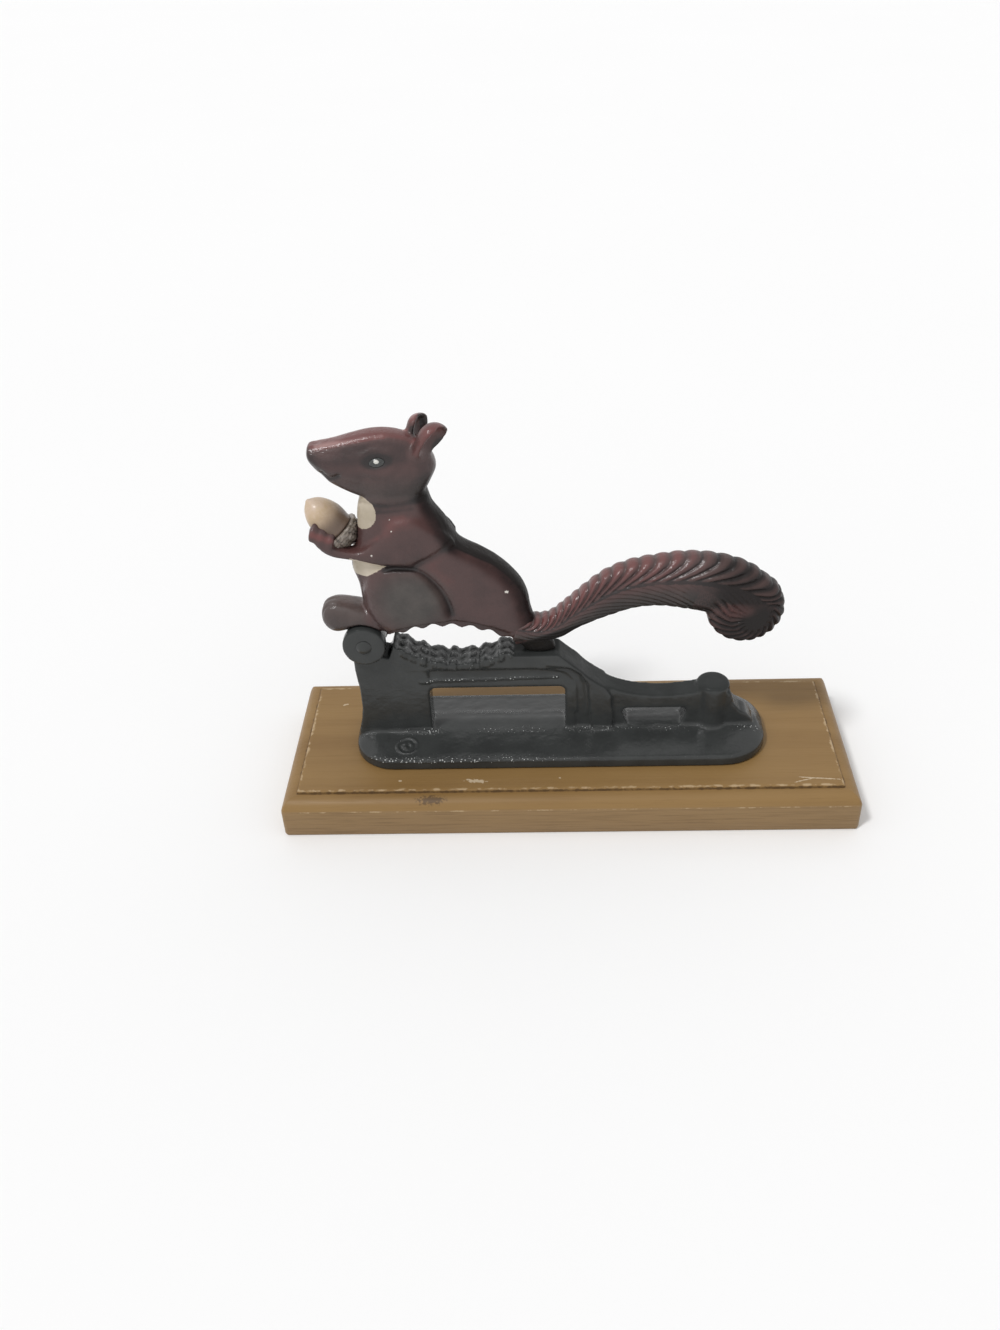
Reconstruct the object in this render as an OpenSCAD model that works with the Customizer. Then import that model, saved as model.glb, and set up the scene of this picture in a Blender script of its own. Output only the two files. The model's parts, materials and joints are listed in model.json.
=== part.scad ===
// Lever nutcracker press: a cast squirrel is the lever, hinged at its toes on a cast stand
// that is screwed to a moulded wooden board. The nut goes between the serrated jaws under
// the squirrel's belly, and the tail is the handle.
// Frame: X runs from the hinge end to the tail end, Y away from the near side, Z up.
// The origin is the middle of the board's underside. All sizes are in millimetres.

/* [Board] */
// Length of the board
board_l = 254; // [230:1:300]
// Width of the board
board_w = 89; // [76:1:120]
// Height of the board at its raised middle
board_h = 20; // [16:1:30]
// Height of the step round the raised middle
board_step = 1.2; // [0.6:0.1:2]
// Width of the moulding outside that step
board_ledge = 7; // [5:0.5:12]
// Radius of the rounded upper edge
board_round = 5; // [2:0.5:5]
// Radius of the board's upright corners
board_corner = 2; // [1:0.5:4]

/* [Stand] */
// Width of the foot plate
foot_w = 48; // [42:1:56]
// Front end of the foot plate, along X
foot_front = -96; // [-105:0.5:-94]
// Rear end of the foot plate, along X
foot_rear = 89.5; // [88:0.5:96]
// Height of the foot plate's edge
foot_edge = 5.5; // [4:0.5:7]
// Height of the foot plate along its middle
foot_ridge = 9; // [8:0.5:10.5]
// Radius of the foot plate's front corners
foot_corner = 18; // [10:1:20]
// Radius of the foot plate's rear corners
foot_rear_corner = 20; // [10:1:20]
// Thickness of the stand's upright web
web_t = 10; // [8:0.5:12]
// Thickness of the frame round the large window
frame_t = 11.6; // [11:0.2:13]
// Width of that frame
frame_w = 4; // [3:0.5:5]
// Front end of the large window, along X
window_front = -61; // [-66:0.5:-56]
// Rear end of the large window, along X
window_rear = -0.5; // [-4:0.5:3]
// Top of the large window above the board
window_top = 31.7; // [28:0.5:33]
// Front end of the small window's top edge, along X
slot_front = 24; // [20:0.5:28]
// Rear end of the small window's top edge, along X
slot_rear = 55; // [50:0.5:55]
// Top of the small window above the board
slot_top = 18.4; // [14:0.2:20]
// Corner radius of both windows
window_round = 2.5; // [1:0.5:4]
// Height of the jaw block's lower border above the board
panel_h = 42.5; // [38:0.5:46]
// Place of the tail post along X
post_x = 65.5; // [62:0.5:70]
// Radius of the tail post
post_r = 7.5; // [6:0.5:9]
// Height of the tail post above the board
post_h = 30; // [26:0.5:34]

/* [Jaws] */
// Width of both jaws
jaw_w = 13.4; // [11:0.2:16]
// Front end of the lower jaw, along X
jaw_front = -73; // [-75:0.5:-70]
// Rear end of the lower jaw, along X
jaw_rear = -25; // [-30:0.5:-22]
// Radius of the lower jaw's hollow
lower_r = 41; // [36:1:60]
// Radius of the upper jaw's hollow
upper_r = 54; // [48:1:80]
// Height of the lower jaw's lowest point below the hinge
lower_drop = 13.2; // [10:0.2:15]
// Height of the upper jaw's highest point above the hinge
upper_rise = 9.5; // [7:0.5:11]
// Spacing of the lower jaw's teeth
lower_pitch = 6.8; // [4:0.1:9]
// Spacing of the upper jaw's teeth
upper_pitch = 7.6; // [5:0.1:9]
// Depth of the jaw teeth
tooth_h = 1.8; // [1:0.1:2.5]

/* [Hinge] */
// Place of the hinge along X
pivot_x = -87; // [-89:0.5:-85]
// Height of the hinge above the board
pivot_h = 58; // [54:0.5:62]
// Radius of the round ears that hold the pin
ear_r = 9.4; // [8:0.2:10]
// Distance across the outer faces of the two ears
ear_span = 20; // [18:0.5:23]
// Thickness of the front leg under the ears
stem_t = 13; // [11:0.5:16]
// Thickness of the lever's lug between the ears
lug_t = 8; // [6:0.2:9]
// Radius of the lever's lug
lug_r = 8.6; // [7:0.2:9]
// Radius of the pin
pin_r = 2.6; // [2:0.1:3.5]
// Radius of the pin's peened heads
pin_head_r = 3.3; // [3:0.1:5]
// Height of those heads
pin_head_h = 1.2; // [0.8:0.1:2]
// Radial clearance of the lever's bore on the pin
pin_clearance = 0.08; // [0.04:0.01:0.1]

/* [Lever] */
// Thickness of the squirrel across its thighs
lever_t = 22.6; // [20:0.2:25]
// Place of the rest heel's front end along X
heel_front = -18; // [-20:0.5:-14]
// Place of the rest heel's rear end along X
heel_rear = -4; // [-8:0.5:-3.5]
// Depth of the heel's face, and of the stand's seat under it, below the hinge
heel_drop = 8.4; // [7:0.1:10]

/* [Acorn] */
// Radius of the nut
nut_r = 8; // [6:0.2:9]
// Length of the nut from the middle of its cap to its tip
nut_l = 18.5; // [16:0.5:22]
// Radius of the cap
cap_r = 8.9; // [8:0.1:10]
// Height of the cap
cap_h = 6; // [4:0.5:9]
// Lean of the acorn, its tip forward
nut_lean = 35; // [28:1:44]
// Middle of the cap's rim ahead of the hinge, along X
acorn_x = -6.5; // [-9:0.5:-2]
// Middle of the cap's rim above the hinge
acorn_z = 54; // [51:0.5:56]

/* [Screws] */
// Radius of the screw heads
screw_head_r = 4.4; // [3.5:0.1:5]
// Radius of the screw shanks
screw_r = 2.1; // [1.5:0.1:2.5]
// Radius of the screws' blunt tips
screw_tip_r = 0.3; // [0.2:0.1:0.8]
// Width of the cross recess in the screws' heads
recess_w = 1.3; // [0.8:0.1:1.6]
// Depth of that recess
recess_h = 1.6; // [1:0.1:2]
// Length of the screws with their heads
screw_l = 19; // [14:0.5:22]
// Distance of the screws from the stand's middle line
screw_y = 15; // [13:0.5:16]
// Place of the front screw along X
screw_front = -72; // [-80:0.5:-68]
// Place of the rear screw along X
screw_rear = 66; // [60:0.5:72]

/* [Fits] */
// Gap between parts that move past each other
free_gap = 0.8; // [0.5:0.1:1]
// Gap between parts that rest on each other or are set into each other
seat_gap = 0.1; // [0.05:0.01:0.3]
// Gap on each side of the lug between the ears
lug_gap = 0.25; // [0.15:0.01:0.4]
// Radial gap of the pin in the ears, where it is driven in
driven_gap = 0.01; // [0.01:0.01:0.03]

/* [Hidden] */
$fn = 64;
tiny = 0.01;
far = 300;

pivot_z = board_h + pivot_h;
seat_h = pivot_h - heel_drop;
ridge_drop = foot_ridge - foot_edge;
slot_half = lug_t / 2 + lug_gap;
screw_head_h = screw_head_r - screw_r;
screw_point_h = 2 * screw_r;
screw_seat = foot_ridge - ridge_drop * (screw_y + screw_head_r) / (foot_w / 2);

// ---- shared helpers ----

// A flat outline drawn in X and Z, given a thickness across Y
module slab(t) {
  rotate([90, 0, 0])
    linear_extrude(t, center = true)
      children();
}

// A cylinder whose axis runs along Y
module cross_bar(r, l) {
  rotate([90, 0, 0])
    cylinder(r = r, h = l, center = true);
}

// Places its children in the lever's own frame, whose origin is the hinge
module at_hinge() {
  translate([pivot_x, 0, pivot_z])
    children();
}

// Places its children on the board's top
module on_board() {
  translate([0, 0, board_h])
    children();
}

function spline(a, b, c, d, t) =
  0.5 * (2 * b + (c - a) * t + (2 * a - 5 * b + 4 * c - d) * t * t
         + (3 * b - a - 3 * c + d) * t * t * t);

// Extra rows between the given ones, on a smooth curve through all of them
function smooth_rows(rows, steps) =
  let (last = len(rows) - 1)
  [for (i = [0 : last - 1], k = [0 : steps - 1])
     spline(rows[max(i - 1, 0)], rows[i], rows[i + 1], rows[min(i + 2, last)], k / steps),
   rows[last]];

function power_of(v, p) = sign(v) * pow(abs(v), p);

// One ring: it runs through two outline points and bulges to half the thickness each side
function ring(row, sides, shape, y) =
  let (middle = [row[0] + row[2], 0, row[1] + row[3]] / 2,
       reach = [row[2] - row[0], 0, row[3] - row[1]] / 2)
  [for (i = [0 : sides - 1])
     let (a = 360 * i / sides)
     middle + reach * power_of(cos(a), 2 / shape)
       + [0, y + row[4] * power_of(sin(a), 2 / shape), 0]];

// A solid skinned over rings. Each row is [x, z, x, z, half thickness]: the two points
// where the outline crosses the ring, and how far the ring stands out to each side.
module skin(rows, steps = 2, sides = 20, shape = 2.4, y = 0) {
  full = smooth_rows(rows, steps);
  last = len(full) - 1;
  polyhedron(
    points = [for (row = full) each ring(row, sides, shape, y)],
    faces = concat(
      [[for (i = [0 : sides - 1]) i]],
      [for (r = [0 : last - 1], i = [0 : sides - 1])
         [r * sides + i, (r + 1) * sides + i, (r + 1) * sides + (i + 1) % sides]],
      [for (r = [0 : last - 1], i = [0 : sides - 1])
         [r * sides + i, (r + 1) * sides + (i + 1) % sides, r * sides + (i + 1) % sides]],
      [[for (i = [sides - 1 : -1 : 0]) last * sides + i]]),
    convexity = 6);
}

// ---- board ----

// Half of the board's cross-section, mirrored: square below, rounded above, then the step
module board_section(w) {
  side = w - 2 * board_ledge;
  low = board_h - board_step;
  translate([-w / 2, 0])
    square([w, low - board_round]);
  translate([-w / 2 + board_round, 0])
    square([w - 2 * board_round, low]);
  translate([-side / 2, 0])
    square([side, board_h]);
  for (s = [-1, 1])
    translate([s * (w / 2 - board_round), low - board_round])
      circle(board_round);
}

module wood_board() {
  color("peru")
    difference() {
      intersection() {
        rotate([90, 0, 0])
          linear_extrude(board_w, center = true)
            board_section(board_l);
        rotate([90, 0, 90])
          linear_extrude(board_l, center = true)
            board_section(board_w);
        linear_extrude(board_h)
          union() {
            square([board_l - 2 * board_corner, board_w], center = true);
            square([board_l, board_w - 2 * board_corner], center = true);
            for (sx = [-1, 1], sy = [-1, 1])
              translate([sx * (board_l / 2 - board_corner), sy * (board_w / 2 - board_corner)])
                circle(board_corner);
          }
      }
      at_screws()
        screw_shape(seat_gap);
    }
}

// ---- stand ----

// One rounded corner of the foot plate
module foot_corner_disc(r) {
  edge_round = 1.6;
  cylinder(r = r, h = foot_edge - edge_round, $fn = 48);
  translate([0, 0, foot_edge - edge_round])
    rotate_extrude($fn = 48)
      translate([r - edge_round, 0])
        circle(edge_round, $fn = 16);
}

// Foot plate: broad round corners, roof-shaped on top
module foot_plate() {
  hull() {
    for (s = [-1, 1]) {
      translate([foot_front + foot_corner, s * (foot_w / 2 - foot_corner), 0])
        foot_corner_disc(foot_corner);
      translate([foot_rear - foot_rear_corner, s * (foot_w / 2 - foot_rear_corner), 0])
        foot_corner_disc(foot_rear_corner);
    }
    translate([foot_front + foot_corner / 3, -1, 0])
      cube([foot_rear - foot_front - foot_corner / 3 - 4, 2, foot_ridge]);
  }
}

// Arc of a jaw: points from x = a to x = b on a circle of radius r round [cx, cz],
// with teeth that stand out of the jaw by h
function jaw_arc(a, b, cx, cz, r, side, pitch, h) =
  let (teeth = round((b - a) / pitch))
  [for (i = [0 : 2 * teeth])
     let (x = a + (b - a) * i / (2 * teeth),
          tip = i % 2 == 1 ? h : 0)
     [x, cz + side * (sqrt(r * r - (x - cx) * (x - cx)) - tip)]];

jaw_middle = (jaw_front + jaw_rear) / 2 + 2;
lower_arc = jaw_arc(jaw_front, jaw_rear, jaw_middle, pivot_h - lower_drop + lower_r,
                    lower_r, -1, lower_pitch, tooth_h);

// Upper edge from the lever's seat down to the tail post
tail_slope = [
  [heel_rear + 1, seat_h], [5, seat_h - 7.4], [11, seat_h - 13.4], [20, seat_h - 19.6],
  [32, seat_h - 23.4], [46, seat_h - 24.2], [post_x - 7.5, seat_h - 22.6]];

// Side view of the whole stand above its foot plate, heights above the board
module stand_outline() {
  difference() {
    polygon(concat(
      [[foot_front + 1, foot_edge / 2], [foot_front + 1.5, foot_ridge],
       [pivot_x - 6, 15], [pivot_x - 5, 22], [pivot_x - 5, 32], [pivot_x - 6, 42],
       [pivot_x - 6, pivot_h - 8], [pivot_x + 8, pivot_h - 8],
       [pivot_x + 9.5, seat_h - 1], [jaw_front - 2, seat_h + 6.5]],
      lower_arc,
      [[jaw_rear + 2, seat_h]],
      smooth_rows(tail_slope, 4),
      [[post_x - 3, 28], [post_x + post_r, 26], [post_x + post_r + 1.5, 20],
       [post_x + post_r + 5, 15.5], [foot_rear - 8.5, 14], [foot_rear - 6, foot_ridge + 2],
       [foot_rear - 4, foot_edge / 2]]));
    big_window(0);
    // small window, narrower at its foot
    offset(window_round)
      offset(-window_round)
        polygon([[slot_front, slot_top], [slot_rear, slot_top],
                 [slot_rear - 4, foot_ridge - 1], [slot_front + 4, foot_ridge - 1]]);
  }
}

// Large window, or its outline moved out by a margin
module big_window(margin) {
  offset(window_round + margin)
    offset(-window_round)
      polygon([[window_front, foot_ridge - 3], [window_rear, foot_ridge - 3],
               [window_rear, window_top], [window_front, window_top]]);
}

// Block that carries the lower jaw, thicker than the web, carried on down the middle leg
module jaw_block() {
  slab(jaw_w)
    intersection() {
      stand_outline();
      polygon([[jaw_front - 4, pivot_h], [jaw_front - 5, seat_h], [jaw_front + 4, panel_h],
               [window_rear + 2, panel_h], [window_rear + 7, panel_h - 3],
               [window_rear + 10, panel_h - 9], [window_rear + 12, foot_ridge],
               [slot_front - 3, foot_ridge], [slot_front - 4, slot_top + 8],
               [slot_front - 10, seat_h - 12], [heel_rear + 1, seat_h],
               [heel_rear + 1, pivot_h]]);
    }
}

// Frame round the large window
module window_frame() {
  slab(frame_t)
    intersection() {
      difference() {
        big_window(frame_w);
        big_window(0);
      }
      stand_outline();
    }
}

// Round post under the curl of the tail
module tail_post() {
  translate([post_x, 0, 0])
    rotate_extrude() {
      square([post_r, post_h - 2]);
      square([post_r - 2, post_h]);
      translate([post_r - 2, post_h - 2])
        circle(2);
    }
}

// Two round ears on the front leg, before they are bored and slotted
module hinge_ears() {
  slab(stem_t)
    intersection() {
      union() {
        stand_outline();
        translate([pivot_x, pivot_h])
          circle(ear_r - 3);
      }
      translate([foot_front, 0])
        square([window_front - foot_front, pivot_h + ear_r]);
    }
  translate([pivot_x, 0, pivot_h])
    cross_bar(ear_r, ear_span);
}

module cast_stand() {
  color("dimgray")
    on_board()
      difference() {
        union() {
          foot_plate();
          slab(web_t)
            stand_outline();
          window_frame();
          jaw_block();
          tail_post();
          hinge_ears();
        }
        // slot for the lever's lug, open above and in front
        translate([pivot_x, 0, pivot_h])
          cross_bar(lug_r + free_gap, 2 * slot_half);
        translate([pivot_x - far, -slot_half, pivot_h])
          cube([far + lug_r + free_gap, 2 * slot_half, far]);
        translate([pivot_x, 0, pivot_h])
          cross_bar(pin_r + driven_gap, far);
        translate([0, 0, -board_h])
          at_screws()
            screw_shape(seat_gap);
      }
}

// ---- lever: all points are measured from the hinge ----

// Body from the rump up to the neck, each ring from its front to its back
body_rows = [
  [12, -4, 72, -4, 6], [9, 2, 74, 2, 8.6], [4, 8, 73.6, 8, 9.8], [1.6, 15, 72.2, 14, 10],
  [0.6, 22, 70.8, 22, 10], [0.2, 29, 67.3, 29, 10], [-1.6, 36, 61, 36, 9.9],
  [-1.4, 41, 54.4, 41, 9.7], [0.6, 47, 45.4, 46, 9.4], [2.2, 53, 41.4, 52, 9],
  [2.8, 59, 38.4, 58, 8.8], [3.5, 65, 34.2, 64, 8.4], [6, 72, 32.4, 70, 8], [10, 78, 31, 76, 6]];

// Heel under the rump, each ring from its front to its back; its flat end rests on the stand
heel_rows = [
  [heel_front - pivot_x, seat_gap - heel_drop, heel_rear - pivot_x, seat_gap - heel_drop, 3.6],
  [heel_front - pivot_x - 2, -5, heel_rear - pivot_x - 1, -5, 4.6],
  [62, 0, 80, 0, 6.2], [60, 4, 77, 4, 6.6]];

// Head from the nose back to the nape, each ring from its top to its underside
head_rows = [
  [-13.6, 91, -13.8, 86.6, 3.4], [-12.6, 91.8, -12.6, 84.6, 5.2], [-9.5, 92.4, -9.5, 80.8, 6.5],
  [-6, 92.8, -6, 77, 7.5], [-2, 93.4, -2, 74.2, 8.3], [4, 94.8, 4, 71, 9],
  [12, 96.4, 12, 68.2, 9.6], [20, 96.3, 20, 67, 9.8], [27, 94.2, 26, 67.6, 9.5],
  [32.5, 91, 30, 70, 8.4], [36, 85, 33, 74, 6], [36.8, 81, 34.5, 77, 2.5]];

// Foot from the toes to the knee, each ring from its top to its underside
foot_rows = [
  [-17.8, 13.6, -17.8, 11, 2], [-16, 17.6, -17, 7.4, 5], [-11.5, 19.6, -13, 4.2, 7],
  [-4, 18.4, -6, 5, 7.8], [2, 16.6, 2, 4, 8.4], [8, 15.6, 8, 4, 8.4]];

// Arm from the shoulder to the paw, each ring from its lower to its upper edge
arm_rows = [
  [42.5, 49, 40.5, 52.5, 1.2], [38, 44.8, 35.5, 57, 3], [31, 41.5, 27.5, 61.5, 4.2],
  [22, 39, 18.5, 61.5, 4.8], [14.5, 39.5, 11.5, 53.5, 4.7], [7, 41.5, 5, 48.6, 4.3],
  [-1, 43.6, 0, 48.2, 4], [-8, 45.2, -6.5, 50, 4.2], [-12.4, 48.2, -9.4, 53.2, 4.4],
  [-15.6, 53.6, -12, 56.4, 3.9], [-16.6, 57.4, -14.6, 58.8, 2]];

// Distance of each arm's middle from the squirrel's middle plane
arm_y = 6.2;

// Thigh from its foot up, each ring from its front to its back
thigh_rows = [
  [14, 3, 40, 3, 8], [7, 8, 42, 8, 10.6], [3, 16, 41.5, 16, 11.3], [1.8, 24, 39.5, 24, 11.3],
  [2.6, 31, 36, 31, 11.1], [6, 37, 31, 37, 10.4], [13, 41, 24, 41, 8.5]];

// Tail from the rump to where it curls, each ring from its upper to its lower edge
tail_rows = [
  [66, 12, 64, -3, 7.5], [73.5, 8.6, 75, -2.5, 7], [80, 9.8, 84.5, -1.5, 6.4],
  [86.6, 15.3, 91.4, 2.9, 6.5], [93.6, 21.9, 99.4, 7, 6.8], [102.4, 29.4, 107.6, 10.2, 7],
  [112.3, 34.3, 116.7, 13.2, 7.2], [124.2, 37, 126.8, 14, 7.4], [137, 38.5, 137, 12.3, 7.5],
  [149.7, 37.4, 144.5, 10.6, 7.5], [161.5, 33.7, 150, 9.4, 7.5], [170, 28, 156, 10, 7.2],
  [174.5, 21.5, 160, 11, 6.6]];

// Middle, radius and thickness of the tail's curled end
curl_at = [163.2, 11.9];
curl_r = 16.7;
curl_t = 14;

// Root and tip of each ear
near_ear = [[33.5, -5, 88.8], [41, -6, 100.4]];
far_ear = [[30.2, 4.8, 89], [32, 5.6, 98.6]];

// Ear between a root and a tip
module squirrel_ear(ends) {
  root = ends[0];
  tip = ends[1];
  hull() {
    translate(root)
      scale([1, 0.55, 1])
        sphere(4.6, $fn = 16);
    translate((root + tip) / 2)
      scale([1, 0.5, 1])
        sphere(4.4, $fn = 16);
    translate(tip)
      sphere(1.6, $fn = 14);
  }
}

// Curled end of the tail: a thick round disc with rounded edges
module tail_curl() {
  edge = 5.6;
  translate([curl_at[0], 0, curl_at[1]])
    rotate([90, 0, 0])
      rotate_extrude($fn = 40)
        intersection() {
          offset(edge, $fn = 16)
            translate([-curl_r + edge, -curl_t / 2 + edge])
              square([2 * (curl_r - edge), curl_t - 2 * edge]);
          translate([0, -curl_t])
            square([curl_r, 2 * curl_t]);
        }
}

// Everything of the squirrel that is modelled freely, drawn out to its real thickness
module squirrel_form() {
  resize([0, lever_t, 0])
    union() {
      skin(body_rows, shape = 2.8);
      skin(heel_rows);
      skin(head_rows, shape = 3);
      skin(foot_rows);
      skin(thigh_rows, shape = 2.6);
      skin(tail_rows);
      for (s = [-1, 1])
        skin(arm_rows, sides = 16, y = s * arm_y);
      squirrel_ear(near_ear);
      squirrel_ear(far_ear);
      tail_curl();
    }
}

upper_front = jaw_front - pivot_x;
upper_rear = jaw_rear - pivot_x + 1;
upper_middle = jaw_middle - pivot_x - 5;
// Gap between the squirrel's rounded underside and the tips of the jaw's teeth
upper_cover = 3;

// Region under the upper jaw: below the arc, and clear of the ears and the heel
module under_jaw(rise, pitch, h) {
  polygon(concat(
    jaw_arc(upper_front, upper_rear, upper_middle, rise - upper_r, upper_r, 1, pitch, h),
    [[heel_front - pivot_x, -heel_drop - lug_r], [0, -heel_drop - lug_r], [0, 0]]));
}

// Block along the belly that carries the upper jaw's teeth
module upper_jaw() {
  slab(jaw_w)
    difference() {
      translate([ear_r + free_gap, 0])
        square([upper_rear - ear_r, upper_rise + 6]);
      under_jaw(upper_rise, upper_pitch, tooth_h);
    }
}

module squirrel_lever() {
  color("maroon")
    difference() {
      at_hinge()
        difference() {
          union() {
            difference() {
              squirrel_form();
              slab(far)
                under_jaw(upper_rise + upper_cover, upper_pitch, 0);
            }
            upper_jaw();
            cross_bar(lug_r, lug_t);
          }
          // room for the two ears
          for (s = [-1, 1])
            translate([0, s * (lug_t / 2 + far / 2), 0])
              cross_bar(ear_r + free_gap, far);
          cross_bar(pin_r + pin_clearance, far);
        }
      acorn_shape(seat_gap);
    }
}

// ---- acorn ----

module at_acorn() {
  at_hinge()
    translate([acorn_x, 0, acorn_z])
      rotate([0, -nut_lean, 0])
        children();
}

// Nut, standing on its cap
module nut_profile(grow) {
  hull() {
    intersection() {
      translate([0, nut_l * 0.5])
        scale([1, 1.4])
          circle(nut_r + grow);
      square([far, nut_l]);
    }
    translate([0, nut_l])
      square([0.7 + grow, tiny]);
  }
}

module acorn_shape(grow) {
  at_acorn() {
    rotate_extrude()
      nut_profile(grow);
    cap_body(grow);
  }
}

// Cap: a shallow bowl
module cap_body(grow) {
  rotate_extrude()
    intersection() {
      scale([1, cap_h / cap_r])
        circle(cap_r + grow);
      translate([0, -far])
        square([far, far + grow]);
    }
}

module acorn_nut() {
  color("tan")
    at_acorn()
      rotate_extrude()
        nut_profile(0);
}

module acorn_cap() {
  color("darkkhaki")
    at_acorn()
      cap_body(0);
}

// ---- pin and screws ----

// Pin with a low peened dome at each end
module pivot_pin() {
  half = ear_span / 2 + driven_gap;
  dome_r = (pin_head_r * pin_head_r + pin_head_h * pin_head_h) / (2 * pin_head_h);
  color("gray")
    at_hinge()
      rotate([90, 0, 0])
        union() {
          cylinder(r = pin_r, h = 2 * half, center = true);
          for (s = [0, 180])
            rotate([s, 0, 0])
              translate([0, 0, half])
                rotate_extrude()
                  intersection() {
                    translate([0, pin_head_h - dome_r])
                      circle(dome_r);
                    square([dome_r, dome_r]);
                  }
        }
}

// Places one child at each screw, at the height of its head's top
module at_screws() {
  for (at = [[screw_front, -screw_y], [screw_rear, screw_y]])
    translate([at[0], at[1], board_h + screw_seat])
      children();
}

// Countersunk screw without its recess, grown for its hole; the hole is open above
module screw_shape(grow) {
  shank_l = screw_l - screw_head_h - screw_point_h;
  translate([0, 0, -screw_head_h])
    cylinder(r1 = screw_r + grow, r2 = screw_head_r + grow, h = screw_head_h);
  translate([0, 0, -screw_head_h - shank_l])
    cylinder(r = screw_r + grow, h = shank_l + tiny);
  translate([0, 0, -screw_l - grow])
    cylinder(r1 = screw_tip_r + grow, r2 = screw_r + grow, h = screw_point_h + grow + tiny);
  if (grow > 0)
    cylinder(r = screw_head_r + grow, h = far);
}

module stand_screws() {
  color("dimgray")
    difference() {
      at_screws()
        screw_shape(0);
      at_screws()
        for (a = [0, 90])
          rotate([0, 0, a + 30])
            cube([screw_head_r, recess_w, 2 * recess_h], center = true);
    }
}

wood_board();
cast_stand();
squirrel_lever();
acorn_nut();
acorn_cap();
pivot_pin();
stand_screws();
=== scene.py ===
"""Looks of a lever nutcracker press: a cast squirrel is the lever on a cast stand and a board.

Shapes are worked out in millimetres in the CAD model's frame and written in metres.
Places called "flat" are on the upright middle plane, as the camera sees them through it.
"""

import json
import math

import bmesh
import bpy
import numpy as np
from mathutils import Matrix, Vector


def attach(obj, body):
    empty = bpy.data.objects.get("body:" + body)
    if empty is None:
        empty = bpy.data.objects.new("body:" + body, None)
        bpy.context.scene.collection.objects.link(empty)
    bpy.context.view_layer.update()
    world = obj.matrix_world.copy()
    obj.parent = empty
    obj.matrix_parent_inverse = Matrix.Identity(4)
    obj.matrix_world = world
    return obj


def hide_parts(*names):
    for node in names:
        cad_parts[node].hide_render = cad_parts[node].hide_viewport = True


MM = 0.001
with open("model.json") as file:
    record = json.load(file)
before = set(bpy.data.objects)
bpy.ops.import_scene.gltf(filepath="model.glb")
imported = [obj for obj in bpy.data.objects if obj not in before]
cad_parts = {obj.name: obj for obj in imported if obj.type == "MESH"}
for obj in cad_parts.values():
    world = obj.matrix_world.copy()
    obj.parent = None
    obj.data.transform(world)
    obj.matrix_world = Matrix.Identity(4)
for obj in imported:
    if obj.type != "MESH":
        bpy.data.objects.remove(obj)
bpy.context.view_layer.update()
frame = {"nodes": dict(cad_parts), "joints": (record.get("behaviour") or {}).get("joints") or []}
HINGE = np.array(frame["joints"][0]["pos_m"]) / MM
BOARD_TOP = 20.0
TURN = 2 * math.pi

# ---- camera ----

LENS_PIXELS, FRAME_PIXELS, SENSOR = 1191.2156, 1330, 36.0
ELEVATION, AZIMUTH, ROLL = (math.radians(a) for a in (36.631, 3.287, -2.960))
TARGET, DISTANCE = np.array((-29.195, 0, 60.217)), 529.134


def camera_axes():
    """Right, up and back directions of the photo's camera."""
    back = np.array((math.sin(AZIMUTH) * math.cos(ELEVATION),
                     -math.cos(AZIMUTH) * math.cos(ELEVATION), math.sin(ELEVATION)))
    level = np.array((math.cos(AZIMUTH), math.sin(AZIMUTH), 0))
    upright = np.cross(back, level)
    c, s = math.cos(ROLL), math.sin(ROLL)
    return c * level + s * upright, -s * level + c * upright, back


RIGHT, UP, BACK = camera_axes()
EYE = TARGET + BACK * DISTANCE


def flat_places(points):
    """X and Z where the camera's line to each point, or to its mirror image on the near
    side, meets the upright middle plane."""
    near = points * (1, 0, 1) - np.abs(points) * (0, 1, 0)
    share = EYE[1] / (EYE[1] - near[:, 1])
    met = EYE + (near - EYE) * share[:, None]
    return met[:, 0], met[:, 2]


# ---- outlines and shells ----

def smooth_rows(rows, steps):
    """Extra rows between the given ones, on a smooth curve through all of them."""
    rows = np.array(rows, float)
    last = len(rows) - 1
    out = []
    for i in range(last):
        a, b, c, d = rows[max(i - 1, 0)], rows[i], rows[i + 1], rows[min(i + 2, last)]
        for k in range(steps):
            t = k / steps
            out.append(0.5 * (2 * b + (c - a) * t + (2 * a - 5 * b + 4 * c - d) * t * t
                              + (3 * b - a - 3 * c + d) * t ** 3))
    return np.array(out + [rows[last]])


def unit(v):
    return v / np.linalg.norm(v, axis=-1, keepdims=True)


def power_of(v, p):
    return np.sign(v) * np.abs(v) ** p


def ease(t):
    t = np.clip(t, 0, 1)
    return t * t * (3 - 2 * t)


def shell(rings):
    """Closed surface over rings of points: an array of rings by sides by 3."""
    count, sides = rings.shape[:2]
    faces = [tuple(range(sides)), tuple((count - 1) * sides + i for i in range(sides))]
    for r in range(count - 1):
        for i in range(sides):
            a, b, j = r * sides, (r + 1) * sides, (i + 1) % sides
            faces.append((a + i, b + i, b + j, a + j))
    return rings.reshape(-1, 3), faces


def section(across, through, first, second, sides):
    """Evenly spaced places round a ring: shares of its reach and of its half thickness. It
    narrows to the shares first and second towards the outline's two points."""
    a = np.linspace(0, TURN, 1441)
    u, v = power_of(np.cos(a), 2 / across), power_of(np.sin(a), 2 / through)
    v = v * np.where(u < 0, 1 + (second - 1) * ease(-u), 1 + (first - 1) * ease(u))
    length = np.concatenate([[0], np.cumsum(np.hypot(np.diff(u), np.diff(v)))])
    at = np.linspace(0, length[-1], sides, endpoint=False)
    return np.interp(at, length, u), np.interp(at, length, v)


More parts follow.
